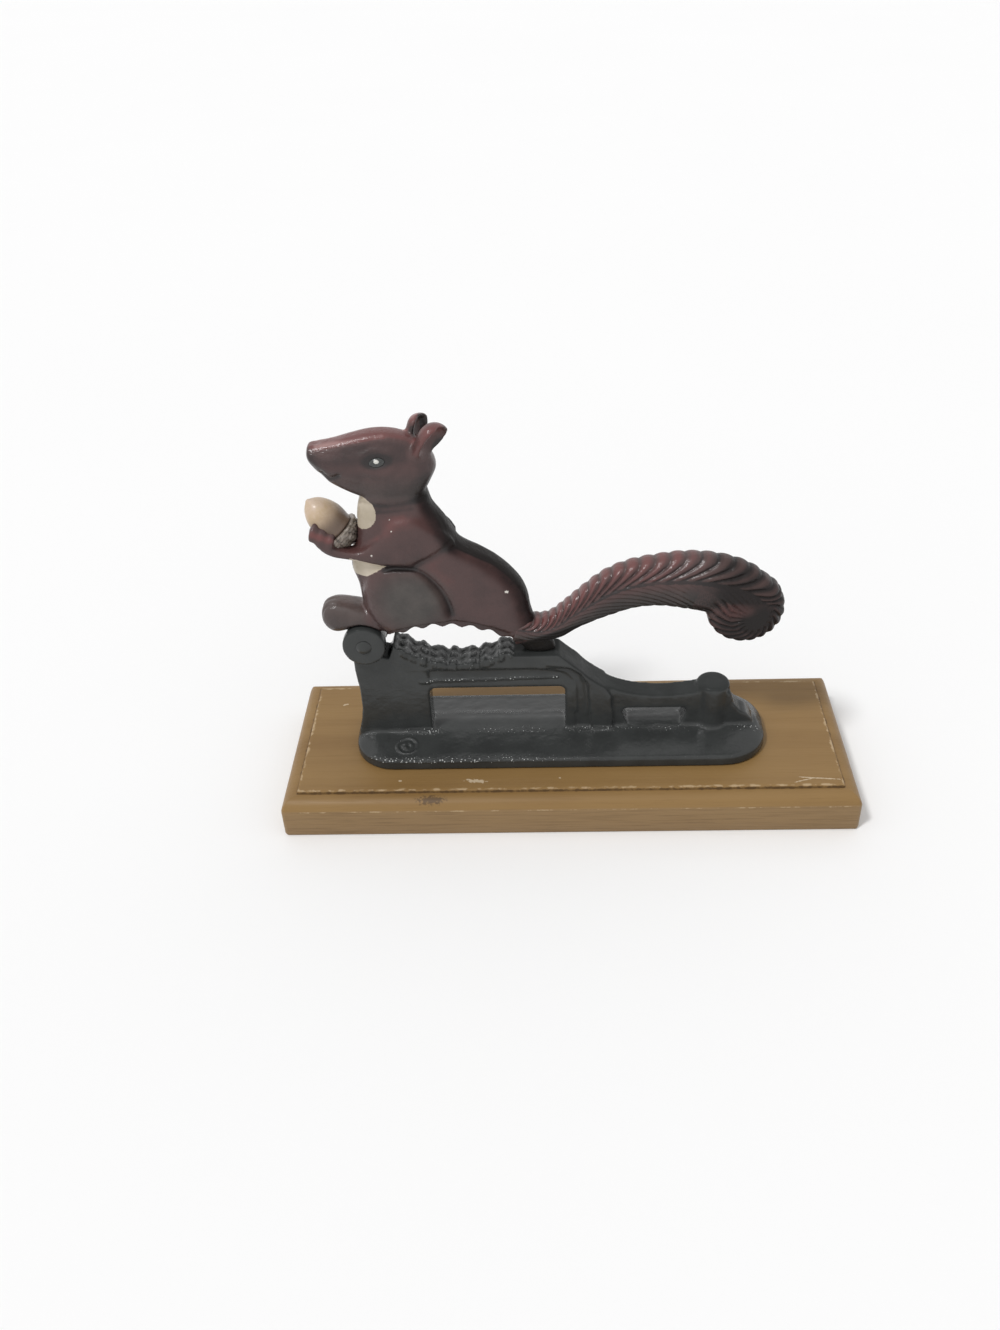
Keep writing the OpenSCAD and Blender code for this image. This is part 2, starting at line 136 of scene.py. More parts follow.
def skin(rows, across=2.4, through=2.4, y=0.0, first=1.0, second=1.0, wide=1.0,
         steps=5, sides=64):
    """Shell over rings. A row is x, z, x, z, half thickness from the hinge: the two points
    where the outline crosses the ring, and how far it stands out to each side. The powers
    across and through square the ring off."""
    full = smooth_rows(rows, steps)
    u, v = section(across, through, first, second, sides)
    middle, reach = (full[:, 0:2] + full[:, 2:4]) / 2, (full[:, 0:2] - full[:, 2:4]) / 2
    flat = middle[:, None] + reach[:, None] * u[None, :, None]
    depth = y + wide * full[:, 4][:, None] * v[None]
    return shell(np.stack([flat[..., 0], depth, flat[..., 1]], -1) + HINGE)


def tube(points, radii, sides=20):
    """Round bar through points, with a radius at each and round ends."""
    rows = smooth_rows(np.column_stack([points, radii]), 4)
    path, size = rows[:, :3], rows[:, 3]
    along = unit(np.gradient(path, axis=0))
    side = unit(np.cross(along, (0.1, 1, 0.2)))
    up = np.cross(along, side)
    a = np.linspace(0, TURN, sides, endpoint=False)
    rings = [path[i] + size[i] * (np.outer(np.cos(a), side[i]) + np.outer(np.sin(a), up[i]))
             for i in range(len(path))]
    caps = []
    for end, step in ((0, -1), (-1, 1)):
        for share in (0.5, 0.8, 0.96):
            grow = math.sqrt(1 - share * share)
            middle = path[end] + step * along[end] * size[end] * share
            caps.append((end, middle + (rings[end] - path[end]) * grow))
    front = [c for e, c in caps if e == 0][::-1]
    return shell(np.array(front + rings + [c for e, c in caps if e == -1]))


def circle(centre, radius, sides=96):
    """Outline of a disc."""
    a = np.linspace(0, TURN, sides, endpoint=False)
    return radius * np.column_stack([np.cos(a), np.sin(a)]) + centre


def lathe(profile, sides=96):
    """Turned shell about Z from rows of height and radius."""
    return shell(np.array([np.column_stack([circle(0, r, sides), np.full(sides, h)])
                           for h, r in profile]))


def prism(outline, low, high):
    """Shell of an outline in X and Z between two depths."""
    outline = np.array(outline, float)
    return shell(np.array([np.column_stack([outline[:, 0], 0 * outline[:, 0] + y,
                                            outline[:, 1]]) for y in (low, high)]))


def joined(shells):
    """Several shells as one list of points and faces."""
    points, faces, base = [], [], 0
    for p, f in shells:
        points.append(p)
        faces += [tuple(base + i for i in face) for face in f]
        base += len(p)
    return np.concatenate(points), faces


# ---- meshes ----

def linked(name, data):
    """A new object in the scene."""
    obj = bpy.data.objects.new(name, data)
    bpy.context.scene.collection.objects.link(obj)
    return obj


def to_mesh(name, points, faces):
    mesh = bpy.data.meshes.new(name)
    mesh.from_pydata((np.asarray(points) * MM).tolist(), [], faces)
    work = bmesh.new()
    work.from_mesh(mesh)
    bmesh.ops.recalc_face_normals(work, faces=work.faces)
    work.to_mesh(mesh)
    work.free()
    mesh.update()
    return mesh


def evaluated(mesh, kind, **settings):
    """The mesh after one modifier of a kind with some settings."""
    holder = linked("work", mesh)
    modifier = holder.modifiers.new(kind, kind)
    for key, value in settings.items():
        setattr(modifier, key, value)
    graph = bpy.context.evaluated_depsgraph_get()
    made = bpy.data.meshes.new_from_object(holder.evaluated_get(graph))
    bpy.data.objects.remove(holder)
    return made


def remeshed(mesh, size):
    """One even skin round everything in the mesh, with faces of a size in millimetres."""
    return evaluated(mesh, "REMESH", mode="VOXEL", voxel_size=size * MM, adaptivity=0)


def cut(mesh, shells):
    """The mesh without the space of some shells."""
    for points, faces in shells:
        holder = linked("cutter", to_mesh("cutter", points, faces))
        mesh = evaluated(mesh, "BOOLEAN", operation="DIFFERENCE", solver="MANIFOLD",
                         object=holder)
        bpy.data.objects.remove(holder)
    return mesh


def get_vectors(items, name):
    flat = np.empty(len(items) * 3)
    items.foreach_get(name, flat)
    return flat.reshape(-1, 3)


def get_points(mesh):
    return get_vectors(mesh.vertices, "co") / MM


def set_points(mesh, points):
    mesh.vertices.foreach_set("co", (points * MM).ravel())
    mesh.update()


def get_normals(mesh):
    return get_vectors(mesh.vertex_normals, "vector")


def calm_normals(mesh, rounds):
    """Normals without the small relief."""
    normals = get_normals(mesh)
    for _ in range(rounds):
        normals = neighbour_mean(mesh, normals)
    return normals


def neighbour_mean(mesh, values):
    """Mean of the neighbours' values at each point."""
    pairs = np.empty(len(mesh.edges) * 2, int)
    mesh.edges.foreach_get("vertices", pairs)
    a, b = pairs[0::2], pairs[1::2]
    size = len(values)
    count = np.maximum(np.bincount(a, minlength=size) + np.bincount(b, minlength=size), 1)
    total = [np.bincount(a, c[b], size) + np.bincount(b, c[a], size)
             for c in values.reshape(size, -1).T]
    return (np.array(total) / count).T.reshape(values.shape)


def relax(mesh, rounds, share=0.6):
    """Smooths the points in place, which also eases every sharp edge."""
    points = get_points(mesh)
    for _ in range(rounds):
        points += (neighbour_mean(mesh, points) - points) * share
    set_points(mesh, points)


def stand_out(mesh, heights):
    """Moves the points along their normals by heights in millimetres."""
    set_points(mesh, get_points(mesh) + get_normals(mesh) * heights[:, None])


def add_values(mesh, **values):
    """Values that the material reads: a number at each point, or one number for them all."""
    size = len(mesh.vertices)
    for name, value in values.items():
        layer = mesh.attributes.new(name, "FLOAT", "POINT")
        layer.data.foreach_set("value", np.broadcast_to(value, size).astype(np.float32))


def piece(name, mesh, body, material, replaced=(), smooth_angle=180):
    """A finished object that rides on a body."""
    obj = linked(name, mesh)
    mesh.materials.clear()
    mesh.materials.append(material)
    mesh.polygons.foreach_set("use_smooth", [True] * len(mesh.polygons))
    if smooth_angle < 180:
        mesh.set_sharp_from_angle(angle=math.radians(smooth_angle))
    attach(obj, body)
    if replaced:
        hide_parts(*replaced)
    return obj


# ---- formulas for carving ----

def from_line(x, z, line):
    """Distance of each place to a smooth line."""
    line = smooth_rows(line, 4) if len(line) > 2 else np.array(line, float)
    best = np.full(x.shape, 1e9)
    for (ax, az), (bx, bz) in zip(line, line[1:]):
        dx, dz = bx - ax, bz - az
        t = np.clip(((x - ax) * dx + (z - az) * dz) / (dx * dx + dz * dz), 0, 1)
        best = np.minimum(best, np.hypot(x - ax - t * dx, z - az - t * dz))
    return best


def stroke(x, z, line, width):
    """1 on a line, fading to 0 about a width away from it."""
    return np.exp(-(from_line(x, z, line) / width) ** 2)


def oval(x, z, centre, half, lean=0.0):
    """1 at the rim of a leaning oval, 0 at its middle."""
    c, s = math.cos(lean), math.sin(lean)
    dx, dz = x - centre[0], z - centre[1]
    return np.hypot((dx * c + dz * s) / half[0], (dz * c - dx * s) / half[1])


def waves(points, length, seed):
    """Random unevenness between about -1 and 1, with waves of a length in millimetres."""
    rng = np.random.default_rng(seed)
    total, weight = np.zeros(len(points)), 0.0
    for octave in range(3):
        share = 0.55 ** octave
        for _ in range(5):
            way = rng.normal(size=3)
            way *= TURN / (length * 0.6 ** octave * np.linalg.norm(way))
            total += share * np.sin(points @ way + rng.uniform(0, TURN))
        weight += share * 2.5
    return total / weight


# ---- shader nodes ----

class Nodes:
    """The nodes of a material or a world, made by short calls."""

    def __init__(self, owner):
        owner.use_nodes = True
        self.tree = owner.node_tree
        self.tree.nodes.clear()

    def node(self, kind, inputs=(), output=0, **settings):
        """An output of a new node, with numbers, colours or other outputs put into its inputs."""
        made = self.tree.nodes.new("ShaderNode" + kind)
        for key, value in settings.items():
            setattr(made, key, value)
        for key, value in dict(inputs).items():
            socket = made.inputs[key]
            if isinstance(value, bpy.types.NodeSocket):
                self.tree.links.new(value, socket)
            else:
                socket.default_value = (*value, 1.0) if socket.type == "RGBA" else value
        return made.outputs[output] if made.outputs else made

    def maths(self, operation, *values):
        return self.node("Math", enumerate(values), operation=operation)


class Shader(Nodes):
    """A material with one principled surface."""

    def __init__(self, name):
        self.material = bpy.data.materials.new(name)
        super().__init__(self.material)

    def finish(self, **inputs):
        inputs = {key.replace("_", " "): value for key, value in inputs.items()}
        self.node("OutputMaterial", {"Surface": self.node("BsdfPrincipled", inputs)})
        return self.material

    def places(self, scale=(1, 1, 1)):
        """Places on the piece itself, in millimetres, stretched by a scale."""
        source = self.node("TexCoord", output="Object")
        return self.node("Mapping", {"Vector": source, "Scale": [s / MM for s in scale]})

    def noise(self, where, scale, detail=3.0, rough=0.55, distort=0.0):
        return self.node("TexNoise", {"Vector": where, "Scale": scale, "Detail": detail,
                                      "Roughness": rough, "Distortion": distort})

    def cells(self, where, scale):
        return self.node("TexVoronoi", {"Vector": where, "Scale": scale}, "Distance",
                         feature="F1")

    def between(self, value, low, high, out_low=0.0, out_high=1.0):
        """Value from low to high turned into a share from out_low to out_high."""
        return self.node("MapRange", enumerate((value, low, high, out_low, out_high)),
                         interpolation_type="SMOOTHSTEP")

    def mix(self, share, a, b):
        return self.node("Mix", {0: share, 6: a, 7: b}, 2, data_type="RGBA")

    def spot(self, centre, half, turn=0.0):
        """0 at the middle of an oval on the XY plane, 1 at its rim. Sizes in millimetres."""
        moved = self.node("Mapping", {"Vector": self.places(), "Location": (*centre, 0),
                                      "Rotation": (0, 0, turn), "Scale": (*half, 1000)},
                          vector_type="TEXTURE")
        return self.node("VectorMath", {0: moved}, "Value", operation="LENGTH")

    def value(self, name):
        return self.node("Attribute", output="Fac", attribute_name=name)

    def bump(self, height, depth, base=None):
        """Normal of a skin whose height goes from 0 to a depth in millimetres."""
        inputs = {"Strength": 1.0, "Distance": depth * MM, "Height": height}
        if base is not None:
            inputs["Normal"] = base
        return self.node("Bump", inputs)


def brown_enamel(name):
    """Dark red-brown gloss enamel with cream patches and chips, with painted light and shade:
    tone runs from painted shade through red to pale painted highlights, and grey is partly a
    painted reflection.
    """
    s = Shader(name)
    where = s.places()
    cloudy = s.noise(where, 0.09, 4)
    fine = s.noise(where, 1.3, 3)
    tone = s.maths("ADD", s.value("tone"), s.between(cloudy, 0.3, 0.7, -0.09, 0.09))
    # tone from painted shade at 0 through the red enamel at 1 to a pale pink painted highlight at
    # 1.6
    dark = s.mix(s.between(tone, 0.0, 0.5), (0.016, 0.011, 0.011), (0.070, 0.036, 0.034))
    red = s.mix(s.between(tone, 0.5, 1.0), dark, (0.135, 0.046, 0.043))
    red = s.mix(s.between(tone, 1.0, 1.6), red, (0.34, 0.20, 0.19))
    # grey: partly the enamel's own grey, partly a painted reflection of a dim room
    grey = s.mix(s.between(tone, 0.0, 0.9), (0.016, 0.015, 0.014), (0.105, 0.089, 0.080))
    red = s.mix(s.value("grey"), red, grey)
    cream_edge = s.maths("ADD", s.value("cream"), s.between(fine, 0.2, 0.8, -0.18, 0.18))
    cream = s.mix(s.between(cloudy, 0.3, 0.7), (0.41, 0.35, 0.26), (0.53, 0.46, 0.37))
    colour = s.mix(s.between(cream_edge, -0.1, 0.1), red, cream)
    chip_edge = s.maths("ADD", s.value("chip"), s.between(fine, 0.2, 0.8, -0.3, 0.3))
    colour = s.mix(s.between(chip_edge, -0.1, 0.1), colour, (0.66, 0.62, 0.57))
    peel = s.noise(where, 0.42, 2)
    grain = s.noise(where, 1.9, 4, 0.65)
    skin_normal = s.bump(grain, 0.06, s.bump(peel, 0.28))
    rough = s.between(fine, 0.3, 0.7, 0.38, 0.5)
    dull = s.value("dull")
    return s.finish(Base_Color=colour, Roughness=rough, Normal=skin_normal,
                    Specular_IOR_Level=s.between(dull, 0, 1, 0.3, 0.05), Coat_Roughness=0.1,
                    Coat_Weight=s.between(dull, 0, 1, 0.38, 0.08), Coat_Normal=skin_normal)


def black_enamel(name, sandy=0.07):
    """Black enamel over a sand-cast skin; the value sandy roughens it and paints pale specks as
    painted glints, and dull takes gloss away.
    """
    s = Shader(name)
    where = s.places()
    cloudy = s.noise(where, 0.07, 3)
    sand = s.noise(where, 0.8, 5, 0.7)
    peel = s.noise(where, 0.22, 2)
    amount = s.value("sandy")
    smooth = s.bump(sand, sandy, s.bump(peel, 0.18))
    normal = s.bump(s.maths("MULTIPLY", amount, s.noise(where, 1.1, 3, 0.7)), 0.7, smooth)
    colour = s.mix(s.between(cloudy, 0.35, 0.65), (0.0335, 0.0355, 0.0350),
                   (0.0410, 0.0435, 0.0428))
    # pale specks painted where sandy is high: painted glints
    painted_glint = s.maths("SUBTRACT", s.cells(where, 0.8), s.maths("MULTIPLY", amount, 0.27))
    colour = s.mix(s.between(painted_glint, -0.03, 0.03, 0.9, 0), colour, (0.50, 0.51, 0.50))
    gloss = s.between(s.value("dull"), 0, 1, 0.32, 0.05)
    return s.finish(Base_Color=colour, Roughness=s.between(sand, 0.3, 0.7, 0.12, 0.22),
                    Normal=normal, Specular_IOR_Level=gloss)


# middle, half size and turn of each chip in the board's stain
CHIPS = (((-40.5, -31.8), (4.3, 1.1), -0.1), ((110, -32.8), (9, 0.35), -0.1),
         ((104, -33.6), (5, 0.3), 0.3), ((-74.6, -31.1), (0.8, 0.6), 0),
         ((-3.5, -30.5), (0.6, 0.5), 0), ((-106, 24), (1.2, 0.5), 0.4))
KNOT_AT, KNOT_HALF = (-60, -41.4), (5.5, 1.7)


def stained_wood(name):
    """Golden-brown stained wood with fine grain along X, chips and stains, worn edges with a
    painted highlight on the moulding, and painted shade in the step by the top.
    """
    s = Shader(name)
    plain = s.places()
    fine = s.noise(s.places((0.03, 1, 1)), 1.5, 5, 0.65, 0.4)
    broad = s.noise(s.places((0.02, 1, 1)), 0.07, 3, 0.5, 0.6)
    cloudy = s.noise(plain, 0.018, 3)
    colour = s.mix(s.between(broad, 0.3, 0.7), (0.200, 0.112, 0.036), (0.250, 0.148, 0.052))
    colour = s.mix(s.between(fine, 0.5, 0.8, 0, 0.38), colour, (0.12, 0.062, 0.020))
    colour = s.mix(s.between(cloudy, 0.35, 0.7, 0, 0.4), colour, (0.285, 0.172, 0.062))
    face = s.value("face")
    colour = s.mix(s.maths("MULTIPLY", face, 0.5), colour, (0.26, 0.172, 0.088))
    streak = s.maths("MULTIPLY", face, s.between(fine, 0.45, 0.7, 0, 0.5))
    colour = s.mix(streak, colour, (0.15, 0.088, 0.038))
    rub = s.between(s.noise(plain, 0.28, 4), 0.3, 0.7, -0.45, 0.3)
    # pale edges: partly wear, partly a painted highlight on the moulding's round
    worn = s.maths("ADD", s.value("worn"), rub)
    colour = s.mix(s.between(worn, 0.35, 0.8, 0, 0.75), colour, (0.50, 0.37, 0.22))
    # painted shade: a dark line in the small step round the top
    dirt = s.maths("ADD", s.value("dirt"), s.between(s.noise(plain, 0.4, 3), 0.3, 0.7, -0.4, 0.2))
    colour = s.mix(s.between(dirt, 0.2, 0.8, 0, 0.7), colour, (0.045, 0.022, 0.010))
    ragged = s.between(s.noise(plain, 0.8, 3), 0.3, 0.7, -0.45, 0.45)
    for chip in CHIPS:
        mark = s.maths("ADD", s.spot(*chip), ragged)
        colour = s.mix(s.between(mark, 0.8, 1.1, 0.8, 0), colour, (0.56, 0.45, 0.31))
    stain = s.maths("ADD", s.spot(KNOT_AT, KNOT_HALF), ragged)
    colour = s.mix(s.between(stain, 0.6, 1.2, 0.7, 0), colour, (0.05, 0.026, 0.013))
    normal = s.bump(fine, 0.05)
    return s.finish(Base_Color=colour, Roughness=s.between(fine, 0.3, 0.7, 0.4, 0.55),
                    Normal=normal, Specular_IOR_Level=0.35)


def acorn_paint(name, nut):
    """Tan nut or dark mottled cap."""
    s = Shader(name)
    where = s.places()
    blotch = s.noise(where, 0.16, 4, 0.6)
    fine = s.noise(where, 1.6, 3)
    if nut:
        along = s.value("along")
        # darker towards the cap: painted shade under it
        tan = s.mix(s.between(along, 0.2, 0.75), (0.13, 0.085, 0.058), (0.50, 0.37, 0.235))
        pale = s.maths("MULTIPLY", s.between(blotch, 0.42, 0.7, 0, 0.8),
                       s.between(along, 0.3, 0.8))
        colour = s.mix(pale, tan, (0.60, 0.47, 0.38))
    else:
        patch = s.noise(where, 0.42, 3, 0.6)
        colour = s.mix(s.between(blotch, 0.4, 0.6), (0.12, 0.10, 0.078), (0.22, 0.18, 0.15))
        colour = s.mix(s.between(patch, 0.55, 0.66, 0, 0.75), colour, (0.34, 0.30, 0.26))
        colour = s.mix(s.between(patch, 0.46, 0.36, 0, 0.75), colour, (0.030, 0.026, 0.020))
    normal = s.bump(fine, 0.1, s.bump(blotch, 0.3))
    return s.finish(Base_Color=colour, Roughness=0.45, Normal=normal,
                    Coat_Weight=0.3, Coat_Roughness=0.2)


def eye_paint(name, pale):
    s = Shader(name)
    patchy = s.noise(s.places(), 1.2, 3)
    colours = (((0.55, 0.55, 0.50), (0.72, 0.71, 0.66)) if pale
               else ((0.008, 0.009, 0.009), (0.030, 0.034, 0.032)))
    colour = s.mix(s.between(patchy, 0.3, 0.7), *colours)
    return s.finish(Base_Color=colour, Roughness=0.25, Coat_Weight=0.6, Coat_Roughness=0.1)


# ---- squirrel ----

# sections of the squirrel's parts, as skin reads them
BODY = [
    [12, -4, 72, -4, 6], [9, 2, 74, 2, 8.6], [4, 8, 73.6, 8, 9.8], [1.6, 15, 72.2, 14, 10],
    [0.6, 22, 70.8, 22, 10], [0.2, 29, 67.3, 29, 10], [-1.6, 36, 61, 36, 9.9],
    [-1.4, 41, 54.4, 41, 9.7], [0.6, 47, 45.4, 46, 9.4], [2.2, 53, 41.4, 52, 9],
    [2.8, 59, 38.4, 58, 8.8], [3.5, 65, 34.2, 64, 8.4], [6, 72, 32.4, 70, 8],
    [10, 78, 31, 76, 6]]
HEEL = [[69, -8.3, 83, -8.3, 3.6], [67, -5, 82, -5, 4.6], [62, 0, 80, 0, 6.2],
        [60, 4, 77, 4, 6.6]]
HEAD = [
    [-13.6, 91.4, -13.8, 86.4, 4], [-12.6, 92.2, -12.6, 84.4, 5.6],
    [-9.5, 92.7, -9.5, 80.6, 6.8], [-6, 93.1, -6, 76.8, 7.8], [-2, 93.9, -2, 74.2, 8.5],
    [4, 95.6, 4, 71, 9.1], [12, 97.2, 12, 68.2, 9.7], [20, 97, 20, 67, 9.9],
    [27, 94.8, 26, 67.6, 9.5], [32.5, 91.4, 30, 70, 8.4], [36, 85, 33, 74, 6],
    [36.8, 81, 34.5, 77, 2.5]]
FOOT = [
    [-17.8, 13.6, -17.8, 11, 2], [-16, 17.6, -17, 7.4, 5], [-11.5, 19.6, -13, 4.2, 7],
    [-4, 18.4, -6, 5, 7.8], [2, 16.6, 2, 4, 8.4], [8, 15.6, 8, 4, 8.4]]
ARM = [
    [42.5, 49, 40.5, 52.5, 1.2], [38, 44.8, 35.5, 57, 3], [31, 41.5, 27.5, 61.5, 4.2],
    [22, 39, 18.5, 61.5, 4.8], [14.5, 39.5, 11.5, 53.5, 4.7], [7, 41.5, 5, 48.4, 4.3],
    [-1, 43.6, 0, 47.6, 4], [-8, 45.2, -6.5, 49.4, 4.2], [-12.4, 48.2, -9.4, 52.8, 4.4],
    [-15.6, 53.6, -12, 56, 3.9], [-16.6, 57.4, -14.6, 58.6, 2]]
THIGH = [
    [14, 3, 40, 3, 8], [7, 8, 42, 8, 10.6], [3, 16, 41.5, 16, 11.3],
    [1.8, 24, 39.5, 24, 11.3], [2.6, 31, 36, 31, 11.1], [6, 37, 31, 37, 10.4],
    [13, 41, 24, 41, 8.5]]
TAIL = [
    [66, 12, 64, -3, 7.5], [73.5, 8.6, 75, -2.5, 7], [80, 9.8, 84.5, -1.5, 6.4],
    [86.6, 15.3, 91.4, 2.9, 6.5], [93.6, 21.9, 99.4, 7, 6.8], [102.4, 29.4, 107.6, 10.2, 7],
    [112.3, 34.3, 116.7, 13.2, 7.2], [124.2, 37, 126.8, 14, 7.4], [137, 38.5, 137, 12.3, 7.5],
    [149.7, 37.4, 144.5, 10.6, 7.5], [161.5, 33.7, 150, 9.4, 7.5], [170, 28, 156, 10, 7.2],
    [174.5, 21.5, 160, 11, 6.6]]
ARM_Y = 6.2
CURL_AT, CURL_R, CURL_T, CURL_EDGE = (163.2, 11.9), 16.7, 14.0, 5.6
LUG_R, LUG_T, BORE_R, EAR_ROOM_R = 8.6, 8.0, 2.68, 10.2
JAW_HALF = 6.7
UPPER = {"front": 14, "rear": 63, "middle": 35, "radius": 54, "rise": 9.5, "pitch": 7.6}
TOOTH, COVER = 1.8, 3.0
HEEL_FRONT, HEEL_DROP = 69, 8.4
BEYOND = 40  # a depth outside the whole squirrel


def under_jaw(rise, tooth):
    """Outline of the space under the upper jaw."""
    teeth = round((UPPER["rear"] - UPPER["front"]) / UPPER["pitch"])
    x = np.linspace(UPPER["front"], UPPER["rear"], 8 * teeth + 1)
    arc = rise - UPPER["radius"] + np.sqrt(UPPER["radius"] ** 2 - (x - UPPER["middle"]) ** 2)
    saw = 1 - np.abs(np.linspace(0, 2 * teeth, len(x)) % 2 - 1)
    arc = arc - tooth * ease(saw)
    ends = [[HEEL_FRONT, -HEEL_DROP - LUG_R], [0, -HEEL_DROP - LUG_R], [0, 0]]
    return np.concatenate([np.column_stack([x, arc]), ends]) + HINGE[[0, 2]]


def ear_shell(root, tip, opening, width, deep):
    """Pointed cup: a leaf from root to tip, hollow on the side that it opens to."""
    root, tip = np.array(root, float) + HINGE, np.array(tip, float) + HINGE
    along = unit(tip - root)
    out = np.array(opening, float)
    out = unit(out - along * (out @ along))
    side = np.cross(along, out)
    rings = []
    a = np.linspace(-1, 1, 21)
    for t in np.linspace(-0.25, 1, 22):
        up = max(t, 0)
        half = max(width * (1 - up ** 6) ** 0.5 * (0.72 + 0.28 * ease(1.6 * up)), 0.25)
        depth = deep * half / width
        back = -depth * (1 - a * a) ** 0.5
        middle = root + along * np.linalg.norm(tip - root) * t
        outer = middle + np.outer(half * a, side) + np.outer(back - 0.5, out)
        wall = 1.3 + (deep - 1.3) * (1 - ease(2.2 * t + 0.25))
        inner = middle + np.outer(0.8 * half * a[::-1], side) + np.outer(
            (wall - depth) * (1 - a[::-1] ** 2) + 0.5, out)
        rings.append(np.concatenate([outer, inner]))
    return shell(np.array(rings))


def squirrel_shells():
    shells = [
        skin(BODY, across=3.3, through=2.9, wide=0.92),
        skin(HEEL),
        skin(HEAD, across=9, through=3, first=0.55, second=0.7),
        skin(FOOT, across=2.4, through=2.5),
        skin(THIGH, across=4.5, through=3.2),
        ear_shell((32, -4.6, 87.5), (41.3, -6.6, 100.2), (0.82, -0.56, -0.1), 7.0, 6.4),
        ear_shell((29.6, 4.6, 87.5), (32.2, 5.6, 100.8), (0.88, -0.46, 0.0), 6.2, 5.0)]
    for side in (-1, 1):
        shells.append(skin(ARM, across=3.2, through=2.6, y=side * ARM_Y))
        for x, z, r in ((-15.0, 57.6, 1.6), (-12.0, 55.2, 1.9), (-8.6, 53.0, 1.9)):
            foot = HINGE + (x - 0.4, side * 9.2, z - 3.4)
            tip = HINGE + (x + 1.4, side * 6.4, z + 1.4)
            shells.append(tube([foot, (foot + tip) / 2 + (0, side * 0.6, 0.5), tip],
                               [r, r, r * 0.85]))
    return shells


EYE_AT, EYE_LEAN = (-73.9, 161.0), 0.14
# flat place, half size, lean, height and lift off the skin of an eye's pieces
EYE_PARTS = {"eye": (EYE_AT, (3.3, 1.95), EYE_LEAN, 0.9, 0.15),
             "eye_dot": ((-73.9, 161.5), (1.1, 0.85), 0.0, 0.45, 0.95)}
BACK_LINE = [(-54.2, 146.3), (-51.3, 141.0), (-48.2, 133.6), (-46.2, 127.6), (-43.7, 123.8),
             (-36.4, 119.2), (-27.2, 114.0), (-18, 104), (-11, 90), (-8, 80)]
# lines of painted highlights: the nose's ridge, the wrist and the near ear's lit front
NOSE_HIGHLIGHT = [(-97.3, 168.3), (-89.9, 169.6), (-83.4, 170.2), (-78.2, 170.9), (-70.8, 172.2)]
WRIST_HIGHLIGHT = [(-86, 125.5), (-78, 126.8)]
EAR_HIGHLIGHT = [(-57.5, 164), (-54, 170.5), (-48.5, 175)]
# line, change of tone and width of each painted highlight
PAINTED_HIGHLIGHTS = (([(-84, 134), (-77, 130), (-70, 133), (-64, 137)], 0.2, 6),
          ([(-104, 128.5), (-100, 127), (-96, 125.5)], 0.5, 2),
          ([(-52, 120), (-57, 112), (-50, 104)], 0.22, 4))
# place and radius of each chip in the near side's enamel
CHIPPED = ((-24.8, 98.9, 0.8), (-80.4, 117.9, 0.5), (-71, 129.5, 0.35), (-71.5, 135, 0.3))
# line, height and width of each fold that the squirrel's sides show
CREASES = (
    ([(-80, 163.5), (-76.5, 166), (-72, 166.4), (-68, 164.4)], 0.3, 1.2),
    ([(-80.5, 157.4), (-76, 155.8), (-71, 155.6), (-67.2, 157.6)], 0.2, 1.0),
    ([(-81, 154.8), (-76, 153.2), (-70.5, 153.1), (-66, 155.4)], -0.28, 0.9),
    ([(-80, 151.6), (-75, 150.2), (-70, 150.4)], -0.16, 1.0),
    ([(-96.5, 157.1), (-94.9, 155.4), (-92.8, 154.3), (-89.9, 155.4)], -0.9, 0.75),
    ([(-89.2, 153.4), (-85.8, 151.2), (-82, 151)], -0.3, 1.5),
    ([(-83, 143.3), (-76, 141.6), (-68, 141.4), (-62, 142.6), (-56, 145.4)], -0.55, 0.8),
    ([(-80, 144.6), (-72, 143.4), (-62, 144.8)], 0.3, 1.0),
    ([(-76, 138.6), (-70, 138.4), (-62, 139.6)], -0.4, 0.8),
    ([(-76, 110.4), (-70, 111.2), (-62, 110.2), (-57, 106.4), (-52, 99.4), (-49.6, 93),
      (-48.4, 88)], -1.0, 0.9),
    ([(-74, 111.6), (-65, 111.2), (-58.5, 114.8), (-52, 118.8), (-46, 124.6)], -0.6, 1.2),
    ([(-51.5, 138), (-48, 129), (-45.8, 124.6), (-40.2, 120), (-31, 114.4)], -0.15, 0.6))


def carve_squirrel(mesh):
    """Eye sockets, brow, mouth, nostril, creases and toes."""
    points, normals = get_points(mesh), get_normals(mesh)
    x, z = flat_places(points)
    sideways = ease((np.abs(normals[:, 1]) - 0.12) * 3)
    h = np.zeros(len(points))
    eye = oval(x, z, EYE_AT, (4.4, 2.5), EYE_LEAN)
    h -= 0.8 * np.exp(-eye ** 4)
    for line, height, width in CREASES:
        h += height * stroke(x, z, line, width)
    h *= sideways
    dish = np.linalg.norm((points - (HINGE + (-10.2, 0, 92.2))) / (2.2, 2.6, 2.5), axis=1)
    h -= 0.55 * np.exp(-dish ** 3)
    for toe in (-3.6, 0, 3.6):
        gap = np.exp(-((points[:, 1] - toe) / 0.6) ** 2)
        h -= 0.55 * gap * ease((HINGE[0] - 9.5 - points[:, 0]) / 4) * (points[:, 2] < 100)
    h += 0.06 * waves(points, 7, 3) + 0.02 * waves(points, 2.2, 4)
    stand_out(mesh, h)


def heel_share(x, z):
    """1 on the rump's underside up to a line that runs to the tail's root, which is painted
    near-black.
    """
    return ease((79.2 + 0.38 * (x + 2.4) - z) / 2.2) * ease((x + 30) / 6) * ease((14 - x) / 8)


def head_top_share(x, z, rise):
    """1 on the flat top of the head and the nose."""
    return ease((z - 158) / 8) * ease((rise - 0.45) / 0.4) * ease((-x - 52) / 6)


